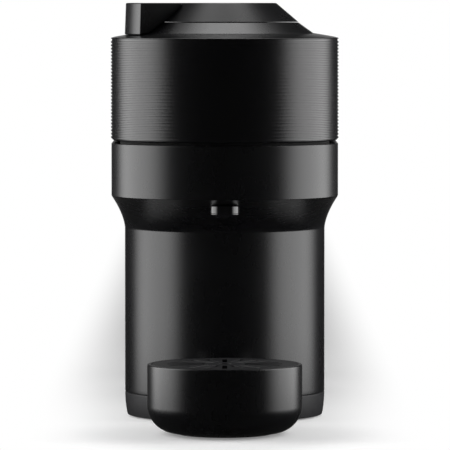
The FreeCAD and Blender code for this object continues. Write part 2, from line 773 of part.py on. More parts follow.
valve_low = dim.tank_foot + dim.thin_wall + 3
stem_span = (dim.tank_foot - 4, valve_low + 1)
keep(fuse(
    "tank_valve",
    rod("valve_disc", dim.neck_bore + 2, (valve_low, valve_low + 2), tank_hose_hole),
    common(
        "valve_stem",
        rod("stem_round", dim.neck_bore - dim.fit, stem_span, tank_hose_hole),
        fuse(
            "stem_cross",
            block("stem_vane", (-0.8, 0.8), (outlet_y - 9, outlet_y + 9), stem_span),
            block("stem_vane_across", (-9, 9), (outlet_y - 0.8, outlet_y + 0.8), stem_span),
        ),
    ),
))

# ---------------------------------------------------------------- cup stand

drum_inner = dim.drum_radius - dim.wall
tray_radius = drum_inner - dim.fit
flat_radius = dim.drum_radius - dim.drum_fillet
curve_z = dim.foot_height + dim.drum_fillet
grid_low = dim.drum_height - 3
drum_axis = (0, drum_y)


def curve_point(radius, angle):
    """A point on the round lower edge, angle in degrees below level."""
    across, down = math.cos(math.radians(angle)), math.sin(math.radians(angle))
    return (flat_radius + radius * across, curve_z - radius * down)


drum_body = new_body("drum_outside")
drum_sketch = add_sketch(drum_body, "drum_profile", "XZ_Plane")
draw_outline(drum_sketch, (
    (0, dim.foot_height), (dim.drum_radius, dim.foot_height), (dim.drum_radius, dim.drum_height),
    (0, dim.drum_height),
))
drum_turn = drum_body.newObject("PartDesign::Revolution", "drum_turn")
drum_turn.Profile = drum_sketch
drum_turn.ReferenceAxis = (drum_sketch, ["V_Axis"])
drum_turn.Angle = 360
bind(drum_body, "Placement.Base.y", drum_y)
DOC.recompute()
bottom_edges = [
    f"Edge{number}" for number, edge in enumerate(drum_turn.Shape.Edges, start=1)
    if abs(edge.BoundBox.ZMax - dim.foot_height.value) < 1e-6
    and edge.BoundBox.XLength > dim.drum_radius.value
]
drum_round = drum_body.newObject("PartDesign::Fillet", "drum_round")
drum_round.Base = (drum_turn, bottom_edges)
bind(drum_round, "Radius", dim.drum_fillet)
drum_body.Tip = drum_round

inner_curve = [curve_point(dim.drum_fillet - dim.wall, angle) for angle in (0, 15, 30, 45, 60, 75, 90)]
drum_inside = turned("drum_inside", (
    (0, dim.drum_height + 1), (drum_inner, dim.drum_height + 1), *inner_curve, (0, plate_top),
), drum_axis)
tray_low = curve_z - 3
drum_ledge = common(
    "drum_ledge",
    tube(
        "drum_ledge_ring", dim.drum_radius - 1, drum_inner - 6, (tray_low - 2, tray_low - dim.fit),
        drum_axis,
    ),
    drum_body,
)
pocket_half = tongue_half + dim.fit
sleeve = common(
    "drum_sleeve",
    block(
        "drum_sleeve_block", (-pocket_half - dim.wall, pocket_half + dim.wall),
        (
            tongue_front - dim.fit - dim.wall, drum_y + dim.drum_radius,
        ), (plate_top - 1, tongue_top + dim.fit + 2),
    ),
    drum_body,
)
pocket = block(
    "drum_pocket", (-pocket_half, pocket_half), (tongue_front - dim.fit, drum_y + dim.drum_radius + 1),
    (plate_top, tongue_top + dim.fit),
)
keep(cut("drum", fuse("drum_walls", cut("drum_hollow", drum_body, drum_inside), drum_ledge, sleeve), pocket))
keep(tube("drum_foot", flat_radius - 2, flat_radius - 9, (0, dim.foot_height), drum_axis))

tray_flat = tray_radius - 5.5
keep(turned("drip_tray", (
    (0, tray_low), (tray_flat, tray_low), (tray_radius, tray_low + 5.5), (tray_radius, grid_low),
    (tray_radius - dim.thin_wall, grid_low), (tray_radius - dim.thin_wall, tray_low + 6.5),
    (tray_flat - 1, tray_low + dim.thin_wall), (0, tray_low + dim.thin_wall),
), drum_axis))
grid_disc = rod("grid_disc", tray_radius, (grid_low, dim.drum_height), drum_axis)
grid_slots = [
    spoke(
        f"grid_slot_{number}", (12, tray_radius - 9), 1.5, (grid_low - 1, dim.drum_height + 1),
        18 * number, drum_y,
    )
    for number in range(20)
]
grid_drain = rod("grid_drain", 4, (grid_low - 1, dim.drum_height + 1), drum_axis)
keep(cut("drip_grid", grid_disc, *grid_slots, grid_drain))

# ---------------------------------------------------------------- brewing unit

collector_outer = gutter_outer + dim.wall
deck_hole = rod("deck_hole", collector_outer + dim.fit, (deck_low - 1, deck_top + 1))
chute_half = dim.chute_width / 2
chute_front = head_y + collector_outer + 5
deck_gate = block(
    "deck_gate", (-chute_half, chute_half), (chute_front, chute_front + 34),
    (deck_low - 1, deck_top + 1),
)
keep(cut("brew_deck", head_slab("deck_slab", dim.wall + dim.fit, (deck_low, deck_top)), deck_hole, deck_gate))

tube_radius = dim.spout_bore + 1.9
tube_low = spout_top - 1.7
collector_ring = turned("collector_ring", (
    (
        race_inner - 0.6, gutter_floor - 2,
    ), (collector_outer, gutter_floor - 2), (collector_outer, deck_low - 2),
    (
        collector_outer + dim.wall, deck_low - 2,
    ), (collector_outer + dim.wall, deck_low), (collector_outer, deck_low),
    (collector_outer, deck_top), (gutter_outer, deck_top), (gutter_outer, gutter_floor),
    (
        gutter_inner, gutter_floor,
    ), (gutter_inner, bearing_top + 1), (race_outer + dim.spin_gap, bearing_top + 1),
    (race_outer + dim.spin_gap, bearing_low), (race_inner - 0.6, bearing_low),
))
collector_tube = rod("collector_tube", tube_radius, (tube_low, gutter_floor - 1), (0, spout_y))
collector_bore = rod("collector_bore", dim.spout_bore, (tube_low - 1, gutter_floor + 1), (0, spout_y))
keep(cut("collector", fuse("collector_blank", collector_ring, collector_tube), collector_bore))

spout_low = spout_top - dim.spout_height
spout_body = turned("spout_body", (
    (0, spout_low), (dim.spout_radius - 3.2, spout_low), (dim.spout_radius - 0.5, spout_low + 1.9),
    (dim.spout_radius, spout_low + 2.1), (dim.spout_radius, spout_top + 5), (0, spout_top + 5),
), (0, spout_y))
spout_socket = rod("spout_socket", tube_radius + dim.fit, (tube_low - dim.fit, spout_top + 6), (0, spout_y))
spout_drain = rod("spout_drain", dim.spout_bore, (spout_low - 1, tube_low), (0, spout_y))
keep(cut("coffee_spout", spout_body, spout_socket, spout_drain))

keep(tube("bearing_race", race_outer, race_inner, (bearing_low, bearing_top)))
ball_z = (bearing_low + bearing_top) / 2
balls = []
for number in range(int(dim.ball_count.value)):
    turn = 2 * math.pi * number / dim.ball_count.value
    ball = DOC.addObject("Part::Sphere", f"bearing_ball_{number}")
    bind(ball, "Radius", dim.ball_radius)
    bind(ball, "Placement.Base.x", ball_ring * math.cos(turn))
    bind(ball, "Placement.Base.y", head_y + ball_ring * math.sin(turn))
    bind(ball, "Placement.Base.z", ball_z)
    balls.append(ball)
keep(fuse("bearing_balls", *balls))

bowl_low = bowl_rim - dim.bowl_depth
bowl_foot = dim.bowl_radius - dim.bowl_slope
keep(turned("capsule_holder", (
    (
        0, bowl_low,
    ), (bowl_foot - 2, bowl_low), (bowl_foot, bowl_low + 1), (dim.bowl_radius - 3.4, bowl_low + 9),
    (dim.bowl_radius, bowl_low + 17), (dim.bowl_radius, bowl_rim - 2), (dim.bowl_flange, bowl_rim - 2),
    (dim.bowl_flange, bowl_rim), (dim.bowl_radius - dim.bowl_wall, bowl_rim),
    (dim.bowl_radius - dim.bowl_wall, bowl_low + 18), (dim.bowl_radius - 6, bowl_low + 11.5),
    (bowl_foot - 2.2, bowl_low + 3), (0, bowl_low + 3),
)))

chute_back = bin_front - dim.part_gap
keep(cut(
    "capsule_chute",
    side_cut("chute_outside", (
        (chute_front, chute_top - 2), (chute_back, chute_low - 2), (chute_back, chute_ceiling),
        (head_back - 6, dim.rear_top - 4), (chute_front, deck_low - dim.fit),
    ), chute_outer),
    side_cut("chute_inside", (
        (chute_front - 1, chute_top + 0.5), (chute_back + 1, chute_low), (chute_back + 1, dim.rear_top),
        (chute_front - 1, deck_low + 2),
    ), chute_half),
))

POST_ANGLES = (72.0, 192.0, 312.0)
posts = []
for angle in POST_ANGLES:
    posts.append(
        spoke(
            f"post_{angle:.0f}", (collector_outer + 1.7, collector_outer + 5.7), 4,
            (deck_top, deck_top + 11), angle,
        ),
    )
    posts.append(spoke(
        f"post_hook_{angle:.0f}", (
            collector_outer - 0.3, collector_outer + 2,
        ), 4, (deck_top + 8.5, deck_top + 11), angle,
    ))
keep(fuse("lock_catches", *posts))

# ---------------------------------------------------------------- hinge of the head

hinge_line = (hinge_y, hinge_z)
knuckle_hole = dim.pin_radius + dim.fit
ear_in = dim.hinge_half + dim.fit
ear_out = ear_in + dim.ear_width
ears = []
for name, low, high in (("left", -ear_out, -ear_in), ("right", ear_in, ear_out)):
    ears.append(rod(f"{name}_ear", dim.knuckle_radius, (low, high), hinge_line, "x"))
    ears.append(block(
        f"{name}_ear_foot", (low, high), (hinge_y - dim.knuckle_radius, hinge_y + dim.knuckle_radius),
        (dim.rear_top, hinge_z),
    ))
pin_bore = rod("pin_bore", dim.pin_radius + dim.spin_gap, (-ear_out - 1, ear_out + 1), hinge_line, "x")
keep(cut("hinge_bracket", fuse("hinge_ears", *ears), pin_bore))
keep(rod("hinge_pin", dim.pin_radius, (-ear_out, ear_out), hinge_line, "x"))

knuckle = rod("knuckle", dim.knuckle_radius, (-dim.hinge_half, dim.hinge_half), hinge_line, "x")
knuckle_arm = block(
    "knuckle_arm", (-dim.hinge_half, dim.hinge_half), (head_back, hinge_y),
    (head_bottom + 0.5, hinge_z + dim.knuckle_radius),
)
knuckle_bore = rod("knuckle_bore", knuckle_hole, (-dim.hinge_half - 1, dim.hinge_half + 1), hinge_line, "x")
keep(cut("head_hinge", fuse("knuckle_blank", knuckle, knuckle_arm), knuckle_bore))

# ---------------------------------------------------------------- heater, pump and water lines

heater_low, heater_high = 38.0, 98.0
heater_front, heater_back = heater_y - 20, heater_y + 20
heater_core = block("heater_core", (-20, 20), (heater_front, heater_back), (heater_low, heater_high))
heater_ends = [
    block(f"heater_end_{number}", (-24, 24), (heater_front - 2, heater_back + 2), (low, low + 4))
    for number, low in enumerate((heater_low - 4, heater_high))
]
heater_legs = [
    rod(f"heater_leg_{number}", 3, (dim.skirt_top, heater_low - 3), (x, y))
    for number, (x, y) in enumerate((x, y) for y in (heater_front + 2, heater_back - 2) for x in (-18, 18))
]
heater_ribs = [
    block(
        f"heater_rib_{number}", (-21.5, 21.5), (heater_front - 1.5, heater_back + 1.5),
        (heater_low + 8 * number, heater_low + 8 * number + 3),
    )
    for number in range(1, 7)
]
keep(fuse("thermoblock", heater_core, *heater_ends, *heater_legs, *heater_ribs))

board_y = column_back - dim.wall - 8
board = block("board", (-48, 34), (board_y, board_y + 1.6), (dim.skirt_top + 3, dim.cove_bottom - 12))
board_feet = block("board_feet", (-40, 26), (board_y - 2, board_y + 3.6), (dim.skirt_top, dim.skirt_top + 4))
board_parts = [
    block(f"board_part_{number}", (x, x + width), (board_y - tall, board_y + 0.5), (z, z + height))
    for number, (x, width, tall, z, height) in enumerate((
        (-44, 20, 14, 30, 18), (-18, 16, 12, 32, 24), (4, 12, 9, 34, 12), (20, 10, 16, 30, 10),
        (-42, 14, 8, 58, 14), (-20, 9, 11, 66, 9), (-2, 26, 4, 62, 26),
    ))
]
keep(fuse("power_board", board, board_feet, *board_parts))

pump_axis = (pump_y, pump_z)
half_coil = dim.pump_length / 2
keep(fuse(
    "pump",
    rod("pump_coil", dim.pump_radius, (-half_coil, half_coil), pump_axis, "x"),
    rod("pump_head", dim.pump_radius - 6, (-half_coil - 8, half_coil + 8), pump_axis, "x"),
    rod("pump_inlet", dim.hose_radius + 1, (-half_coil - 12, half_coil), pump_axis, "x"),
    rod("pump_outlet", dim.hose_radius + 1, (-half_coil, half_coil + 12), pump_axis, "x"),
))
mounts = []
for name, low in (("left", -half_coil + 3), ("right", half_coil - 11)):
    stand = block(
        f"{name}_stand", (low, low + 8), (pump_y - dim.pump_radius - 3, pump_y + dim.pump_radius + 3),
        (dim.skirt_top, pump_z),
    )
    seat = rod(f"{name}_seat", dim.pump_radius + dim.spin_gap, (low - 1, low + 9), pump_axis, "x")
    passage = block(
        f"{name}_passage", (low - 1, low + 9), (pump_y - 12, pump_y + 12), (dim.skirt_top + 6, pump_z - 22),
    )
    mounts.append(cut(f"{name}_mount", stand, seat, passage))
keep(fuse("pump_mounts", *mounts))

meter_top = dim.skirt_top + 22
meter_port = dim.hose_radius + 1.5
keep(fuse(
    "flow_meter",
    rod("meter_case", dim.meter_radius, (dim.skirt_top, meter_top), meter_hole),
    rod("meter_port", meter_port, (meter_top - 1, meter_top + 6), meter_hole),
))

keep(hose("tank_hose", (
    (0, outlet_y, dim.skirt_top + 5), (0, outlet_y, duct_z), (0, pump_y, duct_z), (-meter_x, pump_y, duct_z),
    (-meter_x, pump_y, dim.skirt_top),
), dim.hose_radius, 4.0))
keep(hose("suction_hose", (
    (-meter_x, pump_y, meter_top + 6), (-meter_x, pump_y, pump_z), (-half_coil - 12, pump_y, pump_z),
), dim.hose_radius, 4.0))
keep(hose("pressure_hose", (
    (half_coil + 12, pump_y, pump_z), (riser_x, pump_y, pump_z), (riser_x, pump_y, duct_z),
    (riser_x, heater_y, duct_z), (riser_x, heater_y, heater_low + 14), (21.5, heater_y, heater_low + 14),
), dim.hose_radius, 4.0))
brew_x = 46.0
brew_z = dim.rear_top - 8
keep(hose("brew_hose", (
    (21.5, heater_y, heater_high - 10), (brew_x, heater_y, heater_high - 10), (brew_x, heater_y, brew_z),
    (brew_x, hinge_y - 3, brew_z), (brew_x, hinge_y - 3, dim.rear_top - dim.wall),
), dim.hose_radius - 0.5, 4.0))

# ---------------------------------------------------------------- head

shell_inset = dim.rib_depth + dim.wall
shell_top = cap_floor - dim.wall - dim.shoulder_rise
ribs_low = head_bottom + 1.3
core = new_body("head_core")
core_sketch = add_sketch(core, "head_core_plan", height=head_bottom)
draw_head_plan(
    core_sketch, dim.head_radius - dim.rib_depth, head_y, head_back - dim.rib_depth,
    dim.head_corner - dim.rib_depth,
)
extrude(core, core_sketch, "head_core_pad", dim.head_rim - head_bottom)
rib_sketch = add_sketch(core, "rib_plan", height=ribs_low)
draw_head_plan(rib_sketch, dim.head_radius, head_y, head_back, dim.head_corner)
rib = extrude(core, rib_sketch, "rib_pad", dim.rib_land)
rib_rows = core.newObject("PartDesign::LinearPattern", "rib_rows")
rib_rows.Originals = [rib]
upright = next(item for item in core.Origin.OriginFeatures if item.Role == "Z_Axis")
rib_rows.Direction = (upright, [""])
bind(rib_rows, "Length", dim.rib_pitch * (dim.rib_count - 1))
bind(rib_rows, "Occurrences", dim.rib_count)
core.Tip = rib_rows

shoulder = lofted("shoulder", draw_head_plan, (
    (dim.head_rim, (dim.head_radius, head_y, head_back, dim.head_corner)),
    (cap_floor, (cap_radius, head_y, head_back - dim.cap_inset, dim.head_corner - dim.cap_inset)),
))
rim_band = head_slab("rim_band", 0, (dim.head_rim - 0.7, dim.head_rim))
shell_room = head_slab("shell_room", shell_inset, (head_bottom - 1, shell_top))
cap_seat = cap_radius - 3.2
cap_hole = rod("cap_hole", cap_seat, (shell_top - 1, cap_floor + 1))
keep(cut("head_shell", fuse("head_blank", core, rim_band, shoulder), shell_room, cap_hole))

sleeve_hole = dim.sleeve_radius + 0.5
keep(turned("head_cap", (
    (
        sleeve_hole, cap_top - dim.wall,
    ), (sleeve_hole, cap_top), (lever_radius, cap_top), (cap_radius, cap_floor),
    (cap_seat - dim.fit, cap_floor), (cap_seat - dim.fit, cap_floor - 2.4), (cap_seat - 2.8, cap_floor - 2.4),
    (cap_seat - 2.8, cap_floor + 1.7), (lever_radius - 1.5, cap_top - dim.wall),
)))

post_reach = collector_outer + 5.7
floor_hole_radius = post_reach + 2
floor_slab = head_slab("floor_slab", shell_inset + dim.fit, (floor_low, floor_top))
floor_hole = rod("floor_hole", floor_hole_radius, (floor_low - 1, floor_top + 1))
keep(cut("head_floor", floor_slab, floor_hole))
keep(tube("head_seal", floor_hole_radius + 4, floor_hole_radius + 1.5, (deck_top + dim.fit, floor_low)))

# ---------------------------------------------------------------- motor and what it spins

can_wall = 2.0
can = rod("can", dim.motor_radius, (motor_low, motor_top))
can_room = rod("can_room", dim.motor_radius - can_wall, (motor_low + can_wall, motor_top - can_wall))
bearing_radius = dim.shaft_radius + 5
can_bore = rod("can_bore", bearing_radius + dim.spin_gap, (motor_low - 1, motor_top + 1))
ARM_ANGLES = (87.5, 207.5, 327.5)
arms = []
for angle in ARM_ANGLES:
    arms.append(spoke(
        f"arm_{angle:.0f}", (
            dim.motor_radius - 1, floor_hole_radius + 4,
        ), 5, (motor_low + 7, motor_low + 13), angle,
    ))
    arms.append(spoke(
        f"arm_leg_{angle:.0f}", (
            floor_hole_radius + 0.5, floor_hole_radius + 4,
        ), 5, (floor_top, motor_low + 13), angle,
    ))
keep(cut("motor_housing", fuse("housing_blank", can, *arms), can_room, can_bore))
rotor_radius = dim.motor_radius / 2 - 1
keep(tube(
    "motor_stator", dim.motor_radius - can_wall - dim.spin_gap, rotor_radius + 1,
    (motor_low + can_wall + 2.5, motor_top - can_wall - 2.5),
))
bearing_span = 4.0
keep(fuse(
    "shaft_bearings",
    tube(
        "lower_bearing", bearing_radius, dim.shaft_radius + dim.spin_gap,
        (motor_low, motor_low + bearing_span),
    ),
    tube(
        "upper_bearing", bearing_radius, dim.shaft_radius + dim.spin_gap,
        (motor_top - bearing_span, motor_top),
    ),
))

plate_low = deck_top + 0.6
plate_high = plate_low + 3.4
shaft_bore = 1.8
keep(cut(
    "motor_rotor",
    fuse(
        "rotor_blank",
        rod("shaft", dim.shaft_radius, (plate_high, motor_top - 0.5)),
        rod("rotor_core", rotor_radius, (motor_low + can_wall + 3, motor_top - can_wall - 3)),
    ),
    rod("shaft_bore", shaft_bore, (plate_high - 1, motor_top)),
))
keep(cut(
    "pressing_plate",
    fuse(
        "plate_blank",
        rod("plate_disc", dim.plate_radius, (plate_low, plate_high)),
        rod("plate_hub", dim.shaft_radius + 4, (plate_high - 1, plate_high + 6)),
    ),
    rod("hub_bore", dim.shaft_radius + dim.spin_gap, (plate_high, plate_high + 7)),
    rod("needle_bore", 1.6, (plate_low - 1, plate_high + 1)),
))
needle_tip = plate_low - 10
keep(cut(
    "injection_needle",
    fuse(
        "needle_blank",
        rod("needle_stem", 1.5, (needle_tip + 3, plate_high)),
        cone("needle_point", 0.7, 1.5, (needle_tip, needle_tip + 3)),
    ),
    rod("needle_canal", 0.5, (needle_tip - 1, plate_high + 1)),
))

keep(fuse(
    "water_inlet",
    rod("inlet_body", 6, (motor_top + dim.fit, motor_top + 6.3)),
    rod("inlet_nozzle", shaft_bore - 0.6, (motor_top - 12, motor_top + 1)),
))
head_hose_z = motor_top + 3.6
hose_back = head_back - 9
keep(hose("head_hose", (
    (0, head_y + 6, head_hose_z), (0, hose_back, head_hose_z), (0, hose_back, floor_top + 4),
), dim.hose_radius - 0.5, 4.0))

# ---------------------------------------------------------------- lever, lock cage and start button

cap_raise = dim.lever_gap
arm_start = 25.0
arm_end = dim.lever_reach + 3
wedge = padded("arm_wedge", lambda sketch, *corners: draw_outline(sketch, corners), (
    (-arm_start, head_y - dim.lever_root - dim.lever_slope * arm_start),
    (-arm_start, head_y + dim.lever_root + dim.lever_slope * arm_start),
    (-arm_end, head_y + dim.lever_root + dim.lever_slope * arm_end),
    (-arm_end, head_y - dim.lever_root - dim.lever_slope * arm_end),
), (dim.head_rim, lever_top))
arm_round = cone("arm_round", dim.lever_reach + 0.7, dim.lever_reach, (dim.head_rim, lever_top))
arm_shadow = fuse(
    "arm_shadow",
    head_slab("rim_shadow", 0, (dim.head_rim - 1, dim.head_rim + cap_raise)),
    lofted("shoulder_shadow", draw_head_plan, (
        (dim.head_rim + cap_raise, (dim.head_radius, head_y, head_back, dim.head_corner)),
        (
            cap_floor + cap_raise,
            (cap_radius, head_y, head_back - dim.cap_inset, dim.head_corner - dim.cap_inset),
        ),
    )),
    turned("cap_shadow", (
        (0, cap_floor - 1), (cap_radius + 0.3, cap_floor - 1), (cap_radius + 0.3, cap_floor + cap_raise),
        (lever_radius + 0.3, cap_top + cap_raise), (0, cap_top + cap_raise),
    )),
)
lever_arm = cut("lever_arm", common("arm_blank", wedge, arm_round), arm_shadow)
lever_hub = turned("lever_hub", (
    (sleeve_inner, cage_floor + 2.5), (dim.sleeve_radius, cage_floor + 2.5), (dim.sleeve_radius, lever_low),
    (lever_radius, lever_low), (lever_radius - dim.lever_draw, lever_top), (sleeve_inner, lever_top),
))
lever_eye = rod("lever_eye", sleeve_inner, (cap_floor, lever_top + 1))
keep(cut("lever", fuse("lever_blank", lever_hub, lever_arm), lever_eye))

cage_inner = dim.cage_radius - dim.cage_wall
LEG_ANGLES = (120.0, 240.0, 0.0)
cage_parts = [
    tube("cage_top", dim.cage_radius, sleeve_inner, (cage_floor, cage_floor + 2.5)),
    tube("cage_ring", dim.cage_radius, cage_inner, (cage_low, cage_low + 3.4)),
]
for angle in LEG_ANGLES:
    cage_parts.append(spoke(
        f"cage_leg_{angle:.0f}", (
            cage_inner + 0.5, dim.cage_radius - 0.4,
        ), 4, (cage_low + 3, cage_floor + 1), angle,
    ))
    cage_parts.append(spoke(
        f"cage_lug_{angle:.0f}", (
            dim.cage_radius - 0.5, dim.cage_radius + 2.2,
        ), 6, (cage_low, cage_low + 1.6), angle,
    ))
keep(fuse("lock_cage", *cage_parts))

button_low = lever_top - 3.5
board_low = button_low - dim.button_travel - 2.2
tower_top = board_low
tower_radius = dim.button_radius + 1.5
hose_slot = block("hose_slot", (-3.4, 3.4), (head_y, head_y + 30), (motor_top - 1, head_hose_z + 3.4))
tower_cup = turned("tower_cup", (
    (tower_radius - 2.5, motor_top), (tower_radius, motor_top), (tower_radius, tower_top), (0, tower_top),
    (0, tower_top - 2.5), (tower_radius - 2.5, tower_top - 2.5),
))
keep(cut("button_tower", tower_cup, hose_slot))
keep(fuse(
    "button_board",
    rod("board_disc", dim.button_radius - 2, (tower_top, tower_top + 1.2)),
    rod("board_switch", 3, (tower_top + 1, tower_top + 1.9)),
))
ring_inner = dim.button_radius + 0.4
ring_outer = sleeve_inner - 0.4
keep(tube("light_ring", ring_outer, ring_inner, (tower_top, lever_top - 0.4)))
keep(cut(
    "button",
    rod("button_cap", dim.button_radius, (button_low, lever_top)),
    rod("button_room", dim.button_radius - 2, (button_low - 1, button_low + 1.2)),
))

# ---------------------------------------------------------------- checks and export

DOC.recompute()
for item in DOC.Objects:
    if "Invalid" in item.State or "Error" in item.State:
        raise RuntimeError(f"{item.Label} failed: {item.State}")
names = [item.Label for item in SUB_PARTS]
if len(names) != len(set(names)) or len(names) > 60:
    raise RuntimeError("sub-part names repeat or there are too many")
os.makedirs("parts", exist_ok=True)
for item in SUB_PARTS:
    if item.Shape.isNull() or not item.Shape.isValid() or not item.Shape.Solids:
        raise RuntimeError(f"{item.Label} has no valid shape")
for item in SUB_PARTS:
    item.Shape.exportStep(f"parts/{item.Label}.step")
print(f"{len(SUB_PARTS)} sub-parts")
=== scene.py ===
"""Pod coffee machine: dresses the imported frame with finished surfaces, laid out as an add-on."""
import json
import math

import bmesh
import bpy
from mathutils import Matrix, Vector


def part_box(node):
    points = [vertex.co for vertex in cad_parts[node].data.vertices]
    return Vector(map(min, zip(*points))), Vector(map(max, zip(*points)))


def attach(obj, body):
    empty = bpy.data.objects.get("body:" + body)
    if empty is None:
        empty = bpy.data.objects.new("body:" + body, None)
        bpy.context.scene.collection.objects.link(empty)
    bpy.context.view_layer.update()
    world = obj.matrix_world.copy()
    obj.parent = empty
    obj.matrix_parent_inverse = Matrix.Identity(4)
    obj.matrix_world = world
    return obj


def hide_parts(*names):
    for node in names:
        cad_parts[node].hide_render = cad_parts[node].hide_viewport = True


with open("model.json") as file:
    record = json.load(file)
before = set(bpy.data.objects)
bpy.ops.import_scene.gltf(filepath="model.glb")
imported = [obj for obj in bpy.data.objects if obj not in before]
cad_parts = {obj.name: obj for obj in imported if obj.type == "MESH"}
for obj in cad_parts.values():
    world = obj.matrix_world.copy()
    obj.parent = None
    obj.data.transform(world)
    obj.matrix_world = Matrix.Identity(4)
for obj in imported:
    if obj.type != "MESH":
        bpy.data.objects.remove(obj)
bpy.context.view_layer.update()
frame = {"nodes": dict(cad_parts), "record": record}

bl_info = {
    "name": "Pod coffee machine",
    "version": (1, 0, 0),
    "blender": (4, 5, 0),
    "location": "View3D > Sidebar > Coffee machine",
    "description": "Builds the surfaces and finishes of a pod coffee machine on its packed frame",
    "category": "Object",
}

MM = 0.001
ROUND = 192
SOFT_STEPS = 5

# Places on the machine, in millimetres, read from the frame's own nodes
def span(node, axis):
    """Lowest and highest place of a node on one axis, in millimetres."""
    low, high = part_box(node)
    return low[axis] / MM, high[axis] / MM


HEAD_RADIUS = span("body_shell", 0)[1]
HEAD_FRONT = span("body_shell", 1)[0]
HEAD_Y = HEAD_FRONT + HEAD_RADIUS
HEAD_BACK = span("brew_deck", 1)[1] + 2.8
HEAD_CORNER = 30.0
HEAD_BOTTOM = span("head_shell", 2)[0]
BODY_BOTTOM, BAND_TOP = span("body_shell", 2)
BAND_BOTTOM = BAND_TOP - 31.5
COVE_BOTTOM = BAND_BOTTOM - 23.0
SIDE = span("rear_shell", 0)[1]
COLUMN_BACK = span("body_shell", 1)[1]
COLUMN_Y = span("base_skirt", 1)[0] + SIDE
TANK_Y = span("base_skirt", 1)[1] - SIDE
REAR_TOP = span("rear_shell", 2)[1]
SKIRT_LOW, SKIRT_TOP = span("base_skirt", 2)
WALL = 2.5
BAND_INSET = 0.25
DRUM_RADIUS = span("drum", 0)[1]
DRUM_Y = span("drum", 1)[0] + DRUM_RADIUS
DRUM_LOW, DRUM_TOP = span("drum", 2)
CAP_LOW = span("head_shell", 2)[1]
CAP_TOP = span("head_cap", 2)[1]
LEVER_TOP = span("lever", 2)[1]
SPOUT_LOW = span("coffee_spout", 2)[0]
SPOUT_Y = sum(span("coffee_spout", 1)) / 2
DECK_TOP = span("brew_deck", 2)[1]
FRONT = span("drum", 1)[0]
HEAD_CENTRE = (0.0, HEAD_Y)
DRUM_CENTRE = (0.0, DRUM_Y)


# ---------------------------------------------------------------- settings that a user would change

class CoffeeShape(bpy.types.PropertyGroup):
    """Small shape choices, in millimetres."""
    rib_count: bpy.props.IntProperty(name="Ribs", description="Number of ribs round the head", default=29, min=4, max=60)
    rib_depth: bpy.props.FloatProperty(name="Rib depth", description="Depth of the grooves between ribs, in mm", default=0.6, min=0.1, max=1.5)
    rib_land: bpy.props.FloatProperty(name="Rib height", description="Height of one rib, in mm", default=1.2, min=0.5, max=1.8)
    edge: bpy.props.FloatProperty(name="Edge", description="Softness of outside edges, in mm", default=0.8, min=0.1, max=2.0)
    slot_count: bpy.props.IntProperty(name="Grid slots", description="Slots in the drip grid", default=20, min=6, max=40)


class CoffeeFinish(bpy.types.PropertyGroup):
    """Colours and surface finishes."""
    gloss: bpy.props.FloatVectorProperty(name="Gloss black", description="Polished housings", subtype="COLOR", size=3, min=0, max=1, default=(0.0035, 0.0035, 0.004))
    satin: bpy.props.FloatVectorProperty(name="Satin black", description="Satin mouldings", subtype="COLOR", size=3, min=0, max=1, default=(0.012, 0.012, 0.013))
    grey: bpy.props.FloatVectorProperty(name="Grey", description="Inner mouldings", subtype="COLOR", size=3, min=0, max=1, default=(0.10, 0.10, 0.105))
    steel: bpy.props.FloatVectorProperty(name="Steel", description="Turned and pressed steel", subtype="COLOR", size=3, min=0, max=1, default=(0.56, 0.56, 0.57))
    silicone: bpy.props.FloatVectorProperty(name="Silicone", description="Hoses and the seal", subtype="COLOR", size=3, min=0, max=1, default=(0.62, 0.62, 0.60))
    gloss_roughness: bpy.props.FloatProperty(name="Gloss roughness", description="Roughness of the polished housings", subtype="FACTOR", default=0.27, min=0, max=1)
    satin_roughness: bpy.props.FloatProperty(name="Satin roughness", description="Roughness of the satin mouldings", subtype="FACTOR", default=0.45, min=0, max=1)


class CoffeeLight(bpy.types.PropertyGroup):
    """The studio's softboxes."""
    sides: bpy.props.FloatProperty(name="Side boxes", description="Strength of the two side softboxes", default=3.6, min=0)
    floor: bpy.props.FloatProperty(name="Floor", description="How far the floor near the object is lifted towards white", default=0.2, min=0)
    distance: bpy.props.FloatProperty(name="Distance", description="Softboxes from the middle, in mm", default=308.0, min=100)
    front: bpy.props.FloatProperty(name="Front edge", description="Front edge of the softboxes, in mm", default=-275.0)
    back: bpy.props.FloatProperty(name="Back edge", description="Back edge of the softboxes, in mm", default=58.0)
    low: bpy.props.FloatProperty(name="Low edge", description="Lower edge of the softboxes, in mm", default=-25.0)
    high: bpy.props.FloatProperty(name="High edge", description="Upper edge of the softboxes, in mm", default=520.0)
    edge: bpy.props.FloatProperty(name="Softness", description="Width of the soft edges, in mm", default=95.0, min=1)
    top: bpy.props.FloatProperty(name="Top box", description="Strength of the box above and behind", default=5.5, min=0)
    fill: bpy.props.FloatProperty(name="Fill", description="Strength all round", default=0.02, min=0)


# ---------------------------------------------------------------- shader maths

class Signal:
    """A shader value; arithmetic on it adds Math nodes."""

    def __init__(self, tree, socket):
        self.tree, self.socket = tree, socket

    def math(self, operation, other=None, swap=False):
        node = self.tree.nodes.new("ShaderNodeMath")
        node.operation = operation
        values = [self] if other is None else ([other, self] if swap else [self, other])
        for place, value in zip(node.inputs, values):
            plug(self.tree, place, value)
        return Signal(self.tree, node.outputs[0])

    def __add__(self, other):
        return self.math("ADD", other)

    __radd__ = __add__

    def __sub__(self, other):
        return self.math("SUBTRACT", other)

    def __rsub__(self, other):
        return self.math("SUBTRACT", other, swap=True)

    def __mul__(self, other):
        return self.math("MULTIPLY", other)

    __rmul__ = __mul__

    def __truediv__(self, other):
        return self.math("DIVIDE", other)

    def clamped(self):
        return self.math("MAXIMUM", 0.0).math("MINIMUM", 1.0)


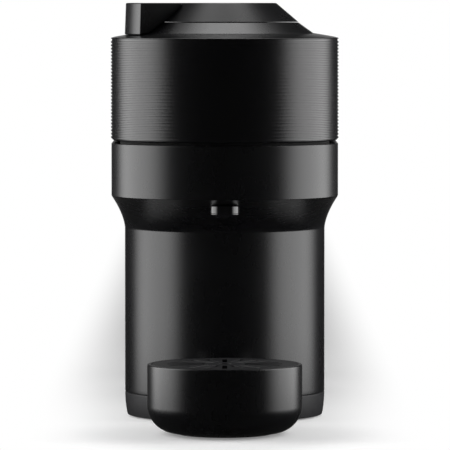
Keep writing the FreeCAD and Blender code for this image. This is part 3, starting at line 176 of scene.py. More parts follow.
def plug(tree, place, value):
    """Links a signal into a socket, or sets the socket's own value."""
    if isinstance(value, Signal):
        tree.links.new(value.socket, place)
    else:
        place.default_value = value


class Finish:
    """A node tree under construction."""

    def __init__(self, tree):
        self.tree = tree
        tree.nodes.clear()

    def node(self, kind, settings=None, output=0, **inputs):
        """Adds a node: settings first, then values or links for the named sockets."""
        node = self.tree.nodes.new("ShaderNode" + kind)
        for name, value in (settings or {}).items():
            if name == "stops":
                ramp = node.color_ramp
                while len(ramp.elements) < len(value):
                    ramp.elements.new(1.0)
                for element, (place, colour) in zip(ramp.elements, value):
                    element.position, element.color = place, colour
            else:
                setattr(node, name, value)
        for name, value in inputs.items():
            matches = [s for s in node.inputs if s.identifier == name or s.name.replace(" ", "_") == name]
            usable = [s for s in matches if s.enabled] or matches
            plug(self.tree, usable[0], value)
        return Signal(self.tree, node.outputs[output]) if len(node.outputs) else None

    def mix(self, factor, first, second):
        """A colour between two."""
        node = self.tree.nodes.new("ShaderNodeMix")
        node.data_type = "RGBA"
        plug(self.tree, node.inputs[0], factor)
        plug(self.tree, node.inputs[6], first)
        plug(self.tree, node.inputs[7], second)
        return Signal(self.tree, node.outputs[2])

    def places(self, *scale):
        """Object coordinates, stretched per axis."""
        coordinates = self.node("TexCoord", output=3)
        return self.node("Mapping", Vector=coordinates, Scale=scale or (1, 1, 1))

    def noise(self, scale, detail=3.0, places=None, roughness=0.5):
        """Even noise from 0 to 1."""
        return self.node("TexNoise", Vector=places or self.places(), Scale=scale, Detail=detail, Roughness=roughness)

    def bump(self, height, strength, distance):
        return self.node("Bump", Height=height, Strength=strength, Distance=distance)

    def surface(self, **sockets):
        """The principled shader, plugged into the output."""
        shader = self.node("BsdfPrincipled", **sockets)
        self.node("OutputMaterial", Surface=shader)


def material(name):
    """A fresh material and its finish."""
    made = bpy.data.materials.new(name)
    made.use_nodes = True
    return made, Finish(made.node_tree)


def rgba(colour, lift=1.0):
    return tuple(min(1.0, part * lift) for part in colour) + (1.0,)


def moulded(name, colour, roughness, grain=2600.0, grain_depth=0.00003, smudge=0.04, level=0.5, lift=1.6):
    """A moulded plastic: fine grain, faint smudges in the gloss and slightly uneven colour."""
    made, finish = material(name)
    fine = finish.noise(grain, 2.0)
    clouds = finish.noise(38.0, 4.0)
    streaks = finish.noise(160.0, 3.0, finish.places(1.0, 1.0, 0.25))
    handled = (clouds * 0.65 + streaks * 0.35 - 0.42) * (smudge * 5.0)
    finish.surface(
        Base_Color=finish.mix(clouds, rgba(colour), rgba(colour, lift)),
        Roughness=(handled + roughness).clamped(),
        Specular_IOR_Level=level,
        Normal=finish.bump(fine, 0.25, grain_depth),
    )
    return made


def turned_metal(name, colour, roughness, rings=900.0):
    """Metal with fine machining marks."""
    made, finish = material(name)
    marks = finish.noise(rings, 3.0, finish.places(0.15, 0.15, 1.0))
    patches = finish.noise(60.0, 3.0)
    finish.surface(
        Base_Color=finish.mix(patches, rgba(colour, 0.9), rgba(colour, 1.1)),
        Metallic=1.0,
        Roughness=(marks * 0.18 + (roughness - 0.09)).clamped(),
        Normal=finish.bump(marks, 0.2, 0.00004),
    )
    return made


def soft_rubber(name, colour, roughness):
    """Rubber or silicone with a soft, dusty surface."""
    made, finish = material(name)
    dust = finish.noise(700.0, 4.0)
    waves = finish.noise(90.0, 2.0)
    finish.surface(
        Base_Color=finish.mix(dust, rgba(colour), rgba(colour, 1.25)),
        Roughness=(waves * 0.12 + (roughness - 0.06)).clamped(),
        Normal=finish.bump(dust, 0.3, 0.00006),
    )
    return made


def circuit_board(name):
    """A lacquered board with copper tracks under the lacquer."""
    made, finish = material(name)
    tracks = finish.node("TexBrick", {"offset": 0.5}, output=1, Vector=finish.places(1, 1, 1), Scale=220.0, Mortar_Size=0.06)
    finish.surface(
        Base_Color=finish.mix(tracks, (0.012, 0.10, 0.035, 1), (0.03, 0.22, 0.07, 1)),
        Roughness=(finish.noise(300.0) * 0.1 + 0.3).clamped(),
        Normal=finish.bump(tracks, 0.3, 0.00005),
    )
    return made


def smoked_clear(name):
    """Smoked clear plastic of the water tank."""
    made, finish = material(name)
    waves = finish.noise(26.0, 2.0)
    finish.surface(
        Base_Color=finish.mix(waves, (0.10, 0.10, 0.11, 1), (0.14, 0.14, 0.15, 1)),
        Roughness=(waves * 0.05 + 0.06).clamped(),
        IOR=1.46,
        Transmission_Weight=0.85,
        Normal=finish.bump(waves, 0.15, 0.0004),
    )
    return made


def light_guide(name):
    """Frosted ring that the start button's lamp shines through."""
    made, finish = material(name)
    frost = finish.noise(1200.0, 2.0)
    finish.surface(
        Base_Color=finish.mix(frost, (0.55, 0.57, 0.58, 1), (0.68, 0.70, 0.70, 1)),
        Roughness=(frost * 0.2 + 0.3).clamped(),
        Subsurface_Weight=0.2,
        Normal=finish.bump(frost, 0.2, 0.00005),
    )
    return made


MATERIALS = {}


class COFFEE_OT_finishes(bpy.types.Operator):
    """Makes every finish and gives it to the frame's nodes"""
    bl_idname = "coffee.finishes"
    bl_label = "Finishes"

    def execute(self, context):
        look = context.scene.coffee_finish
        MATERIALS.update(
            black_gloss=moulded("black_gloss", look.gloss, look.gloss_roughness, 1800.0, 0.000012, 0.015),
            black_ribs=moulded("black_ribs", look.gloss, look.gloss_roughness - 0.03, 2200.0, 0.000012, 0.015, level=0.6),
            black_satin=moulded("black_satin", look.satin, look.satin_roughness, 3000.0, 0.00004, 0.03, level=0.35),
            polished=moulded("polished_black", look.gloss, 0.1, 1500.0, 0.000006, 0.01, level=0.7),
            grey_moulding=moulded("grey_moulding", look.grey, 0.5, 2400.0, 0.00005, 0.03, lift=1.15),
            foot_rubber=soft_rubber("foot_rubber", (0.022, 0.022, 0.022), 0.8),
            silicone=soft_rubber("silicone", look.silicone, 0.45),
            steel=turned_metal("steel", look.steel, 0.32),
            aluminium=turned_metal("aluminium", (0.62, 0.62, 0.63), 0.45, 500.0),
            board=circuit_board("board"),
            light_guide=light_guide("light_guide"),
            smoked_tank=smoked_clear("smoked_tank"),
        )
        for part in frame["record"]["subparts"]:
            node = frame["nodes"][part["node"]]
            node.data.materials.clear()
            node.data.materials.append(MATERIALS[part["material_slot"]])
            node.data.polygons.foreach_set("use_smooth", [True] * len(node.data.polygons))
        return {"FINISHED"}


# ---------------------------------------------------------------- outlines in plan

def around(centre, radius, start, end, count):
    """Points on an arc, angles in degrees, without its last point."""
    step = math.radians(end - start) / count
    first = math.radians(start)
    return [(centre[0] + radius * math.cos(first + step * k), centre[1] + radius * math.sin(first + step * k)) for k in range(count)]


def along(start, end, count):
    """Points on a straight line, without its last point."""
    return [tuple(start[k] + (end[k] - start[k]) * n / count for k in range(2)) for n in range(count)]


def at_height(outline, height):
    return [(x, y, height) for x, y in outline]


def circle(centre):
    """A plan function for round pieces: the offset is the radius."""
    return lambda radius, height: at_height(around(centre, radius, 0, 360, ROUND), height)


def head_outline(radius, axis, back, corner):
    """Half round in front, with straight sides and round back corners."""
    inside, shoulder = radius - corner, back - corner
    return (
        around((0, axis), radius, 180, 360, 96)
        + along((radius, axis), (radius, shoulder), 12)
        + around((inside, shoulder), corner, 0, 90, 18)
        + along((inside, back), (-inside, back), 12)
        + around((-inside, shoulder), corner, 90, 180, 18)
        + along((-radius, shoulder), (-radius, axis), 12)
    )


def head_plan(inset, height):
    return at_height(head_outline(HEAD_RADIUS - inset, HEAD_Y, HEAD_BACK - inset, HEAD_CORNER - inset), height)


def onto_circle(ring, radius, height):
    """The points of a ring, moved onto a circle round the brewing axis."""
    moved = []
    for x, y, _ in ring:
        reach = math.hypot(x, y - HEAD_Y)
        moved.append((x * radius / reach, HEAD_Y + (y - HEAD_Y) * radius / reach, height))
    return moved


def body_plan(inset, height):
    """The column's plan below the cove, the band's above it, and the flare between them."""
    step = min(1.0, max(0.0, (BAND_BOTTOM - height) / (BAND_BOTTOM - COVE_BOTTOM)))
    swell = (1 - step) ** 1.5
    radius = SIDE + (HEAD_RADIUS - SIDE) * swell
    nose = COLUMN_Y - SIDE + (HEAD_FRONT - COLUMN_Y + SIDE) * swell
    back = COLUMN_BACK + (HEAD_BACK - COLUMN_BACK) * swell
    corner = 4.0 + (HEAD_CORNER - 4.0) * swell
    return head_outline(radius - inset, nose + radius, back - inset, corner - inset)


def base_plan(inset, height):
    radius = SIDE - inset
    return at_height(
        around((0, COLUMN_Y), radius, 180, 360, 72) + along((radius, COLUMN_Y), (radius, TANK_Y), 24)
        + around((0, TANK_Y), radius, 0, 180, 72) + along((-radius, TANK_Y), (-radius, COLUMN_Y), 24), height)


def block_plan(front, back, corner=1.2):
    """A plan function for a straight-sided housing."""
    def plan(inset, height):
        x, near, far, turn = SIDE - inset, front + inset, back - inset, max(0.3, corner - inset)
        return at_height(
            around((-x + turn, near + turn), turn, 180, 270, 6) + along((-x + turn, near), (x - turn, near), 16)
            + around((x - turn, near + turn), turn, 270, 360, 6) + along((x, near + turn), (x, far - turn), 16)
            + around((x - turn, far - turn), turn, 0, 90, 6) + along((x - turn, far), (-x + turn, far), 16)
            + around((-x + turn, far - turn), turn, 90, 180, 6) + along((-x, far - turn), (-x, near + turn), 16), height)
    return plan


def tank_plan(front, corner=1.5):
    """A plan function for the half-round tank and what goes with it."""
    def plan(inset, height):
        radius, near, turn = SIDE - inset, front + inset, max(0.3, corner - inset)
        return at_height(
            around((-radius + turn, near + turn), turn, 180, 270, 6) + along((-radius + turn, near), (radius - turn, near), 20)
            + around((radius - turn, near + turn), turn, 270, 360, 6) + along((radius, near + turn), (radius, TANK_Y), 4)
            + around((0, TANK_Y), radius, 0, 180, 96) + along((-radius, TANK_Y), (-radius, near + turn), 4), height)
    return plan


# ---------------------------------------------------------------- skins and pieces

def softened(profile):
    """Rounds the corners of an (offset, height, softness) profile."""
    points = []
    last = len(profile) - 1
    for number, corner in enumerate(profile):
        softness = corner[2] if len(corner) > 2 else 0.0
        here = Vector(corner[:2])
        before, after = Vector(profile[number - 1][:2]), Vector(profile[(number + 1) % (last + 1)][:2])
        if softness <= 0:
            points.append(tuple(here))
            continue
        start = here + (before - here).normalized() * min(softness, (before - here).length * 0.49)
        end = here + (after - here).normalized() * min(softness, (after - here).length * 0.49)
        for step in range(SOFT_STEPS + 1):
            share = step / SOFT_STEPS
            points.append(tuple(start * (1 - share) ** 2 + here * 2 * share * (1 - share) + end * share ** 2))
    return points


def swept(plan, profile):
    """Rings of a plan function through a softened profile."""
    return [plan(offset, height) for offset, height in softened(profile)]


def skin(rings, loop=True, caps=False):
    """A closed mesh through rings with the same number of points."""
    work = bmesh.new()
    grid = [[work.verts.new([part * MM for part in point]) for point in ring] for ring in rings]
    count = len(grid[0])
    pairs = list(zip(grid, grid[1:] + grid[:1])) if loop else list(zip(grid, grid[1:]))
    for lower, upper in pairs:
        for k in range(count):
            work.faces.new((lower[k], lower[(k + 1) % count], upper[(k + 1) % count], upper[k]))
    if caps:
        work.faces.new(grid[0])
        work.faces.new(grid[-1])
    bmesh.ops.remove_doubles(work, verts=work.verts, dist=1e-7)
    bmesh.ops.dissolve_degenerate(work, edges=work.edges, dist=1e-7)
    bmesh.ops.recalc_face_normals(work, faces=work.faces)
    return work


def piece(name, work, body, slot_name, nodes=(), sharp=50.0, bevel=0.0, finish=None):
    """Turns a bmesh into a named piece that rides on a body and stands for nodes."""
    mesh = bpy.data.meshes.new(name)
    work.to_mesh(mesh)
    work.free()
    mesh.polygons.foreach_set("use_smooth", [True] * len(mesh.polygons))
    mesh.set_sharp_from_angle(angle=math.radians(sharp))
    mesh.materials.append(MATERIALS[finish or slot_name])
    made = bpy.data.objects.new(name, mesh)
    bpy.context.scene.collection.objects.link(made)
    if bevel:
        rounder = made.modifiers.new("edges", "BEVEL")
        rounder.width, rounder.segments, rounder.limit_method = bevel * MM, 3, "ANGLE"
        rounder.angle_limit = math.radians(35)
        rounder.harden_normals = False
    flat = made.modifiers.new("flat faces", "WEIGHTED_NORMAL")
    flat.keep_sharp = True
    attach(made, body)
    if nodes:
        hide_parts(*nodes)
    return made


def lathe(name, profile, body, slot_name, nodes=(), centre=HEAD_CENTRE, sharp=50.0, finish=None):
    """A turned piece from a closed (radius, height, softness) profile."""
    return piece(name, skin(swept(circle(centre), profile)), body, slot_name, nodes, sharp, finish=finish)


RIB_CREST = (
    (-0.52, 1.0), (-0.505, 0.6), (-0.44, 0.3), (-0.34, 0.11), (-0.2, 0.02), (0.0, 0.0),
    (0.2, 0.02), (0.34, 0.11), (0.44, 0.3), (0.505, 0.6), (0.52, 1.0),
)


def ribs_profile(shape):
    """The head's outside from its lower edge to its rim, as (inset, height) points."""
    pitch, depth = 2.03, shape.rib_depth
    low = HEAD_BOTTOM + 1.3
    points = [(2.4, HEAD_BOTTOM), (1.7, HEAD_BOTTOM + 0.12), (1.0, HEAD_BOTTOM + 0.5), (depth, low - 0.25)]
    for number in range(shape.rib_count):
        middle = low + pitch * number + shape.rib_land / 2
        points += [(depth * inset, middle + rise * shape.rib_land) for rise, inset in RIB_CREST]
    rim = CAP_LOW - 2.5
    points += [(depth, rim - 0.75), (0.15, rim - 0.62), (0.0, rim - 0.45), (0.0, rim - 0.25), (0.25, rim - 0.02), (0.9, rim + 0.12)]
    return points


# ---------------------------------------------------------------- operators, one for each group of pieces

class COFFEE_OT_base(bpy.types.Operator):
    """Base skirt, rear housing and tank seat"""
    bl_idname = "coffee.base"
    bl_label = "Base and rear housing"

    def execute(self, context):
        edge = context.scene.coffee_shape.edge
        piece("base_ring", skin(swept(base_plan, (
            (1.5, SKIRT_LOW, 0.4), (1.02, SKIRT_LOW + 2.2), (0.58, SKIRT_LOW + 5.0), (0.25, SKIRT_LOW + 8.0), (0.08, SKIRT_TOP - 2.6),
            (0.03, SKIRT_TOP - 0.7, 0.2), (0.6, SKIRT_TOP, 0.2), (3.5, SKIRT_TOP), (3.5, SKIRT_LOW, 0.4),
        ))), "base", "black_satin", ("base_skirt",))
        front, back = span("rear_shell", 1)
        piece("rear_housing", skin(swept(block_plan(front, back), (
            (WALL, REAR_TOP - WALL), (WALL, SKIRT_TOP), (0.0, SKIRT_TOP, 0.3), (0.0, REAR_TOP, edge), (edge * 3, REAR_TOP),
        )), loop=False, caps=True), "base", "black_gloss", ("rear_shell",))
        seat_front = span("tank_seat", 1)[0]
        seat_top = span("tank_seat", 2)[1]
        piece("tank_plinth", skin(swept(tank_plan(seat_front), (
            (WALL, seat_top - WALL), (WALL, SKIRT_TOP), (0.0, SKIRT_TOP, 0.3), (0.0, seat_top, 0.6), (4.0, seat_top),
        )), loop=False, caps=True), "base", "black_gloss")
        return {"FINISHED"}


class COFFEE_OT_body(bpy.types.Operator):
    """Column, flared neck and smooth band in one moulding"""
    bl_idname = "coffee.body"
    bl_label = "Column and band"

    def execute(self, context):
        edge = context.scene.coffee_shape.edge
        column = [SKIRT_TOP + 0.5, SKIRT_TOP + 2.5, (SKIRT_TOP + COVE_BOTTOM) / 2, COVE_BOTTOM - 2.0, COVE_BOTTOM - 0.2]
        cove = [COVE_BOTTOM + (BAND_BOTTOM - COVE_BOTTOM) * (k / 40) ** 1.3 for k in range(40)]
        outside = [(SKIRT_TOP, 0.45), (SKIRT_TOP + 0.12, 0.15)] + [(z, 0.0) for z in column]
        outside += [(z, BAND_INSET * (z - COVE_BOTTOM) / (BAND_BOTTOM - COVE_BOTTOM)) for z in cove]
        outside += [(BAND_BOTTOM - 0.05, 0.12), (BAND_BOTTOM + 0.15, 0.03), (BAND_BOTTOM + 0.5, 0.0)]
        outside += [(BAND_TOP - 0.55, 0.0), (BAND_TOP - 0.25, 0.08), (BAND_TOP - 0.06, 0.28), (BAND_TOP, 0.6)]
        outside = [(z, inset + (BAND_INSET if z >= BAND_BOTTOM - 0.1 else 0.0)) for z, inset in outside]
        inside = [(BAND_TOP, WALL - 0.4), (BAND_TOP - 0.3, WALL), (BAND_BOTTOM + WALL, WALL)]
        rings = [at_height(body_plan(inset, z), z) for z, inset in outside + inside]
        for z in reversed(column + cove):
            rings.append(at_height(body_plan(WALL, z), z + (WALL if z > COVE_BOTTOM else 0.0)))
        rings.append(at_height(body_plan(WALL, SKIRT_TOP), SKIRT_TOP))
        piece("column_and_band", skin(rings), "base", "black_gloss", ("body_shell",), sharp=42.0)
        piece("hinge_block", skin(swept(block_plan(HEAD_BACK - 5, COLUMN_BACK, 4.0), (
            (0.0, COVE_BOTTOM - 2, 0.3), (0.0, REAR_TOP, edge), (edge * 3, REAR_TOP),
        )[0:3]), loop=False, caps=True), "base", "black_gloss")
        return {"FINISHED"}


class COFFEE_OT_head(bpy.types.Operator):
    """Ribbed head and the cap on its top"""
    bl_idname = "coffee.head"
    bl_label = "Ribbed head"

    def execute(self, context):
        shape = context.scene.coffee_shape
        rim = CAP_LOW - 2.5
        inner = shape.rib_depth + WALL
        rings = [head_plan(inset, height) for inset, height in ribs_profile(shape)]
        rings += [head_plan(14.8 * k, rim + 2.5 * k) for k in (0.25, 0.5, 0.75, 0.97)]
        rings += [head_plan(14.8, CAP_LOW), head_plan(15.6, CAP_LOW)]
        rings += [onto_circle(rings[-1], 50.0, CAP_LOW), onto_circle(rings[-1], 50.0, rim - 2.5)]
        rings += [head_plan(inner, rim - 2.5), head_plan(inner, HEAD_BOTTOM + 0.4), head_plan(inner - 0.3, HEAD_BOTTOM)]
        piece("ribbed_head", skin(rings), "head", "black_ribs", ("head_shell",), sharp=60.0)
        lathe("cap_cone", (
            (25.0, CAP_TOP - WALL), (25.0, CAP_TOP, 0.3), (44.0, CAP_TOP, 0.5), (53.2, CAP_LOW, 0.25), (49.7, CAP_LOW),
            (49.7, CAP_LOW - 2.4), (47.2, CAP_LOW - 2.4), (47.2, CAP_LOW + 1.7), (42.5, CAP_TOP - WALL),
        ), "head", "black_gloss", ("head_cap",))
        lathe("lit_ring", (
            (19.4, LEVER_TOP - 7.2), (21.6, LEVER_TOP - 7.2), (21.6, LEVER_TOP - 0.4, 0.4), (19.4, LEVER_TOP - 0.4, 0.4),
        ), "head", "light_guide", ("light_ring",))
        return {"FINISHED"}


def arm_underside(x, y):
    """Height of the lever arm's underside above the head's top and the cap."""
    reach = math.hypot(x, y - HEAD_Y)
    over_cap = CAP_LOW + (53.5 - reach) * (CAP_TOP - CAP_LOW) / 9.2
    over_head = CAP_LOW - max(0.0, reach - 53.2) * 2.5 / 14.8
    return max(min(over_cap, CAP_TOP), over_head) + 0.35


def arm_work():
    """The lever's fan-shaped arm: a flat top, upright walls and an underside that follows the cap."""
    slope, root, reach, start = 0.479, 8.8, 59.0, 25.0
    turn = 2 * math.asin(root / math.hypot(reach, 0) * 0.5)
    edge_x = (-root * slope + math.sqrt((root * slope) ** 2 - (1 + slope ** 2) * (root ** 2 - reach ** 2))) / (1 + slope ** 2)
    half = math.degrees(math.atan2(root + slope * edge_x, edge_x))
    outline = along((-start, HEAD_Y - root - slope * start), (-edge_x, HEAD_Y - root - slope * edge_x), 14)
    arc = around(HEAD_CENTRE, reach, 180 + half, 180 - half, 48)
    outline += arc + along((-edge_x, HEAD_Y + root + slope * edge_x), (-start, HEAD_Y + root + slope * start), 15)
    outline.append((-start, HEAD_Y + root + slope * start))
    work = bmesh.new()
    top = [work.verts.new((x * MM, y * MM, LEVER_TOP * MM)) for x, y in outline]
    shares = (1.0, 0.93, 0.86, 0.78, 0.7, 0.6, 0.5)
    rows = []
    for share in shares:
        row = []
        for x, y in outline:
            px = -start + (x + start) * share
            py = HEAD_Y + (y - HEAD_Y) * share
            grow = 1.0 + 0.012 * (1.0 if share == 1.0 and math.hypot(x, y - HEAD_Y) > reach - 0.5 else 0.0)
            px, py = px * grow, HEAD_Y + (py - HEAD_Y) * grow
            row.append(work.verts.new((px * MM, py * MM, arm_underside(px, py) * MM)))
        rows.append(row)
    work.faces.new(top)
    for upper, lower in zip([top] + rows, rows):
        for k in range(len(outline)):
            k2 = (k + 1) % len(outline)
            work.faces.new((upper[k], upper[k2], lower[k2], lower[k]))
    work.faces.new(rows[-1])
    bmesh.ops.remove_doubles(work, verts=work.verts, dist=1e-7)
    bmesh.ops.recalc_face_normals(work, faces=work.faces)
    return work


class COFFEE_OT_lever(bpy.types.Operator):
    """Lock lever with its arm, and the start button"""
    bl_idname = "coffee.lever"
    bl_label = "Lever and button"

    def execute(self, context):
        low = span("lever", 2)[0]
        lathe("lever_hub", (
            (22.0, low), (24.5, low), (24.5, CAP_TOP + 0.3), (44.0, CAP_TOP + 0.3, 0.35), (30.7, LEVER_TOP, 0.8), (22.0, LEVER_TOP, 0.5),
        ), "lever", "black_gloss", ("lever",))
        piece("lever_arm", arm_work(), "lever", "black_gloss", bevel=0.7)
        lathe("start_button", (
            (0.0, LEVER_TOP - 2.3), (17.0, LEVER_TOP - 2.3), (17.0, LEVER_TOP - 3.5), (19.0, LEVER_TOP - 3.5),
            (19.0, LEVER_TOP, 0.9), (15.5, LEVER_TOP - 0.15, 1.5), (8.0, LEVER_TOP - 0.7), (0.0, LEVER_TOP - 0.9),
        ), "button", "black_gloss", ("button",))
        return {"FINISHED"}


def drum_curve(radius, steps=14):
    """The cup stand's round lower edge, from level down to flat."""
    flat, rise = DRUM_RADIUS - 16.0, DRUM_LOW + 16.0
    angles = [math.radians(90 * k / steps) for k in range(steps + 1)]
    return [(flat + radius * math.cos(a), rise - radius * math.sin(a)) for a in angles]


def grid_work(count, top, low, radius):
    """The drip grid: a disc with radial slots round a drain hole."""
    work = bmesh.new()
    near, far, half, drain = 12.0, radius - 9.0, 1.5, 4.0

    def corner(reach, angle):
        return work.verts.new((reach * math.cos(angle) * MM, (DRUM_Y + reach * math.sin(angle)) * MM, top * MM))

    steps = 6
    columns = []
    for number in range(count):
        middle = 2 * math.pi * number / count
        following = 2 * math.pi * (number + 1) / count
        for k in range(3):
            offset = (k - 1) * half
            columns.append((True, k, [middle + math.asin(offset / reach) for reach in (drain, near, far, radius)]))
        for k in range(1, steps):
            share = k / steps
            row = []
            for reach in (drain, near, far, radius):
                first, second = middle + math.asin(half / reach), following - math.asin(half / reach)
                row.append(first + (second - first) * share)
            columns.append((False, k, row))
    if half / drain > math.sin(math.pi / count):
        for _, _, angles in columns:
            angles[0] = angles[1]
    verts = [[corner(reach, angle) for reach, angle in zip((drain, near, far, radius), angles)] for _, _, angles in columns]
    total = len(verts)
    for k in range(total):
        following = (k + 1) % total
        for band in range(3):
            in_slot = columns[k][0] and columns[following][0]
            if band == 1 and in_slot:
                continue
            work.faces.new((verts[k][band], verts[k][band + 1], verts[following][band + 1], verts[following][band]))
    slab = bmesh.ops.extrude_face_region(work, geom=work.faces[:])
    bmesh.ops.translate(work, vec=(0, 0, (low - top) * MM), verts=[v for v in slab["geom"] if isinstance(v, bmesh.types.BMVert)])
    bmesh.ops.recalc_face_normals(work, faces=work.faces)
    return work


class COFFEE_OT_stand(bpy.types.Operator):
    """Cup stand with its tray and grid"""
    bl_idname = "coffee.stand"
    bl_label = "Cup stand"

    def execute(self, context):
        inner = DRUM_RADIUS - WALL
        outside = list(reversed(drum_curve(16.0)))
        inside = drum_curve(16.0 - WALL)
        profile = [(0.0, DRUM_LOW)] + outside + [(DRUM_RADIUS, DRUM_TOP, 0.9), (inner, DRUM_TOP, 0.5)] + inside + [(0.0, DRUM_LOW + WALL)]
        lathe("stand_drum", profile, "cup_support", "black_gloss", ("drum",), DRUM_CENTRE)
        low, high = span("drip_tray", 2)
        radius = span("drip_tray", 0)[1]
        lathe("stand_tray", (
            (0.0, low), (radius - 5.5, low, 1.0), (radius, low + 5.5, 1.5), (radius, high, 0.3), (radius - 2.0, high, 0.3),
            (radius - 2.0, low + 6.5, 1.5), (radius - 6.5, low + 2.0, 1.0), (0.0, low + 2.0),
        ), "drip_tray", "black_satin", ("drip_tray",), DRUM_CENTRE)
        low, high = span("drip_grid", 2)
        slots = context.scene.coffee_shape.slot_count
        piece("stand_grid", grid_work(slots, high, low, radius), "drip_grid", "black_satin", ("drip_grid",), bevel=0.35)
        return {"FINISHED"}


class COFFEE_OT_brewing(bpy.types.Operator):
    """Spout, capsule bowl and the plate that presses on the capsule"""
    bl_idname = "coffee.brewing"
    bl_label = "Brewing parts"

    def execute(self, context):
        lathe("spout", (
            (5.45, SPOUT_LOW, 0.5), (8.1, SPOUT_LOW + 1.75, 0.3), (8.65, SPOUT_LOW + 1.95, 0.15), (8.65, SPOUT_LOW + 2.5, 0.15),
            (8.5, SPOUT_LOW + 2.7, 0.1), (8.6, SPOUT_LOW + 3.0), (8.6, SPOUT_LOW + 7.7, 1.3), (5.4, SPOUT_LOW + 7.9),
            (5.4, SPOUT_LOW + 12.0), (4.6, SPOUT_LOW + 12.0), (4.6, SPOUT_LOW + 6.0), (2.3, SPOUT_LOW + 5.2), (2.3, SPOUT_LOW, 0.4),
        ), "base", "black_gloss", ("coffee_spout",), (0.0, SPOUT_Y), sharp=40.0, finish="polished")
        rim = span("capsule_holder", 2)[1]
        low = span("capsule_holder", 2)[0]
        lathe("capsule_bowl", (
            (0.0, low), (20.0, low, 0.8), (22.0, low + 1.0, 1.0), (31.0, low + 9.0, 3.0), (34.4, low + 17.0, 2.0), (34.4, rim - 2.0, 0.3),
            (36.3, rim - 2.0, 0.4), (36.3, rim, 0.5), (31.4, rim, 0.8), (31.4, low + 18.0, 3.0), (28.4, low + 11.5, 3.0),
            (19.8, low + 3.0, 1.0), (0.0, low + 3.0),
        ), "capsule_holder", "black_satin", ("capsule_holder",))
        low, high = span("pressing_plate", 2)
        lathe("press_plate", (
            (1.6, low, 0.2), (9.0, low, 0.3), (11.0, low + 0.6, 0.3), (26.0, low + 0.6, 0.3), (27.5, low, 0.3), (31.0, low, 0.6),
            (31.0, low + 3.4, 0.8), (8.0, low + 3.4, 0.6), (8.0, high, 0.5), (4.1, high, 0.2), (4.1, low + 3.4), (1.6, low + 3.4),
        ), "brew_rotor", "black_satin", ("pressing_plate",))
        return {"FINISHED"}


class COFFEE_OT_bin(bpy.types.Operator):
    """Bin for used capsules and its cover"""
    bl_idname = "coffee.bin"
    bl_label = "Capsule bin"

    def execute(self, context):
        edge = context.scene.coffee_shape.edge
        front, back = span("capsule_bin", 1)
        low, high = span("capsule_bin", 2)
        plan = block_plan(front, back)
        piece("bin_tub", skin(swept(plan, (
            (2.0, low + 2.0, 0.0), (2.0, high), (0.0, high, 0.3), (0.0, low, 0.8), (3.0, low),
        )), loop=False, caps=True), "capsule_bin", "black_gloss", ("capsule_bin",))
        piece("bin_lid", skin(swept(plan, (
            (4.3, REAR_TOP - WALL), (4.3, REAR_TOP - 5.8), (2.3, REAR_TOP - 5.8), (2.3, REAR_TOP - WALL),
            (0.0, REAR_TOP - WALL, 0.3), (0.0, REAR_TOP, edge), (edge * 3, REAR_TOP),
        )), loop=False, caps=True), "capsule_bin", "black_gloss", ("bin_cover",))
        return {"FINISHED"}


class COFFEE_OT_tank(bpy.types.Operator):
    """Water tank and its lid"""
    bl_idname = "coffee.tank"
    bl_label = "Water tank"

    def execute(self, context):
        front = span("water_tank", 1)[0]
        foot = span("water_tank", 2)[0] + 5.0
        rim = span("water_tank", 2)[1]
        piece("tank_vessel", skin(swept(tank_plan(front), (
            (2.0, foot + 2.0), (2.0, rim), (0.0, rim, 0.4), (0.0, foot, 1.2), (5.0, foot),
        )), loop=False, caps=True), "tank", "smoked_tank", ("water_tank",))
        front = span("tank_lid", 1)[0]
        low, high = span("tank_lid", 2)
        piece("tank_cover", skin(swept(tank_plan(front), (
            (3.0, low), (0.0, low, 0.3), (0.0, high, 0.8), (3.0, high),
        )), loop=False, caps=True), "tank_lid", "black_gloss", ("tank_lid",))
        return {"FINISHED"}


# ---------------------------------------------------------------- stage

def step(finish, value, low, high):
    """Smooth step between two limits."""
    node = finish.tree.nodes.new("ShaderNodeMapRange")
    node.interpolation_type = "SMOOTHSTEP"
    plug(finish.tree, node.inputs[0], value)
    node.inputs[1].default_value, node.inputs[2].default_value = low, high
    return Signal(finish.tree, node.outputs[0])


def parts_of(finish, vector):
    """The three numbers of a vector."""
    first = finish.node("SeparateXYZ", Vector=vector)
    return [Signal(finish.tree, socket) for socket in first.socket.node.outputs]


def flat_sheet(name, corners, shade):
    """A flat sheet of the stage with its own material."""
    mesh = bpy.data.meshes.new(name)
    mesh.from_pydata([[part * MM for part in corner] for corner in corners], [], [(0, 1, 2, 3)])
    mesh.materials.append(shade)
    made = bpy.data.objects.new(name, mesh)
    bpy.context.scene.collection.objects.link(made)
    return made


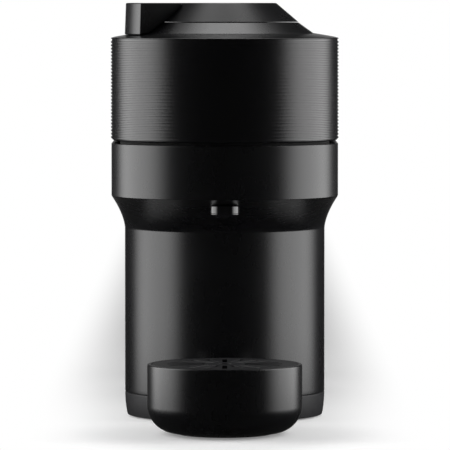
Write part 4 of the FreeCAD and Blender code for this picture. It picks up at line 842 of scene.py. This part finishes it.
class COFFEE_OT_stage(bpy.types.Operator):
    """Floor, softboxes, sky and the camera"""
    bl_idname = "coffee.stage"
    bl_label = "Stage"

    def execute(self, context):
        light = context.scene.coffee_light
        pale, finish = material("pale_floor")
        seen = finish.node("LightPath")
        x, y, z = parts_of(finish, finish.node("NewGeometry"))
        away = x.math("ABSOLUTE") + (y * -1.0 + FRONT * MM).math("MAXIMUM", 0.0)
        matt = finish.node("BsdfDiffuse", Color=(0.8, 0.8, 0.8, 1))
        glow = finish.node("Emission", Color=(1, 1, 1, 1), Strength=seen * light.floor)
        lit = finish.node("AddShader", Shader=matt, Shader_001=glow)
        white = finish.node("Emission", Color=(1, 1, 1, 1), Strength=1.0)
        finish.node("OutputMaterial", Surface=finish.node(
            "MixShader", Fac=seen * step(finish, away, 0.06, 0.12), Shader=lit, Shader_001=white))
        reach = 30000.0
        floor = flat_sheet("floor", (
            (-reach, -reach, 0), (reach, -reach, 0), (reach, reach, 0), (-reach, reach, 0)), pale)
        floor.visible_glossy = False

        box, shade = material("softbox")
        x, y, z = parts_of(shade, shade.node("TexCoord", output=3))
        front, back, low, high = light.front * MM, light.back * MM, light.low * MM, light.high * MM
        edge = light.edge * MM
        spread = (step(shade, y, front - edge, front + edge) * (1 - step(shade, y, back - edge, back + edge))
                  * step(shade, z, low - edge * 0.3, low + edge * 0.5) * (1 - step(shade, z, high - edge, high + edge)))
        shade.node("OutputMaterial", Surface=shade.node("Emission", Color=(1, 1, 1, 1), Strength=spread * light.sides))
        edge, front, back = light.edge, light.front, light.back
        low, high = light.low - edge, light.high + edge
        for name, across in (("softbox_left", -light.distance), ("softbox_right", light.distance)):
            sheet = flat_sheet(name, (
                (across, front - edge, low), (across, back + edge, low), (across, back + edge, high), (across, front - edge, high),
            ), box)
            sheet.visible_camera = sheet.visible_transmission = sheet.visible_shadow = False

        world = bpy.data.worlds.new("studio")
        context.scene.world = world
        world.use_nodes = True
        sky = Finish(world.node_tree)
        x, y, z = parts_of(sky, sky.node("TexCoord", output=0))
        top = (step(sky, y, 0.15, 0.30) * (1 - step(sky, y, 0.30, 0.75))
               * (1 - step(sky, x.math("ABSOLUTE"), 0.08, 0.42)) * step(sky, z, 0.0, 0.2))
        behind = step(sky, y, 0.97, 0.995)
        soft = top * light.top + behind * 0.5 + light.fill
        rays = sky.node("LightPath")
        through = Signal(world.node_tree, rays.socket.node.outputs["Is Transmission Ray"])
        seen = (rays + through).clamped()
        strength = seen + (1 - seen) * soft
        sky.node("OutputWorld", Surface=sky.node("Background", Color=(1, 1, 1, 1), Strength=strength))

        camera = bpy.data.objects.new("camera", bpy.data.cameras.new("camera"))
        camera.data.lens, camera.data.sensor_width = 350.6, 36.0
        camera.data.clip_end = 200.0
        camera.location = (0.15 * MM, (HEAD_Y - 2620.0) * MM, 252.3 * MM)
        camera.rotation_euler = (math.radians(90 - 2.886), 0, 0)
        context.scene.collection.objects.link(camera)
        context.scene.camera = camera
        context.scene.view_settings.view_transform = "Standard"
        return {"FINISHED"}


class COFFEE_PT_panel(bpy.types.Panel):
    """Lists the makers of the coffee machine"""
    bl_label = "Pod coffee machine"
    bl_space_type = "VIEW_3D"
    bl_region_type = "UI"
    bl_category = "Coffee machine"

    def draw(self, context):
        for group in (context.scene.coffee_shape, context.scene.coffee_finish, context.scene.coffee_light):
            for name in group.__annotations__:
                self.layout.prop(group, name)
        for operator in OPERATORS:
            self.layout.operator(operator.bl_idname)


OPERATORS = (
    COFFEE_OT_finishes, COFFEE_OT_base, COFFEE_OT_body, COFFEE_OT_head, COFFEE_OT_lever, COFFEE_OT_stand,
    COFFEE_OT_brewing, COFFEE_OT_bin, COFFEE_OT_tank, COFFEE_OT_stage,
)
GROUPS = (("coffee_shape", CoffeeShape), ("coffee_finish", CoffeeFinish), ("coffee_light", CoffeeLight))


def register():
    for name, group in GROUPS:
        bpy.utils.register_class(group)
        setattr(bpy.types.Scene, name, bpy.props.PointerProperty(type=group))
    for operator in OPERATORS + (COFFEE_PT_panel,):
        bpy.utils.register_class(operator)


def unregister():
    for operator in reversed(OPERATORS + (COFFEE_PT_panel,)):
        bpy.utils.unregister_class(operator)
    for name, group in reversed(GROUPS):
        delattr(bpy.types.Scene, name)
        bpy.utils.unregister_class(group)


def main():
    register()
    for operator in OPERATORS:
        group, name = operator.bl_idname.split(".")
        getattr(getattr(bpy.ops, group), name)()


if __name__ == "__main__":
    main()
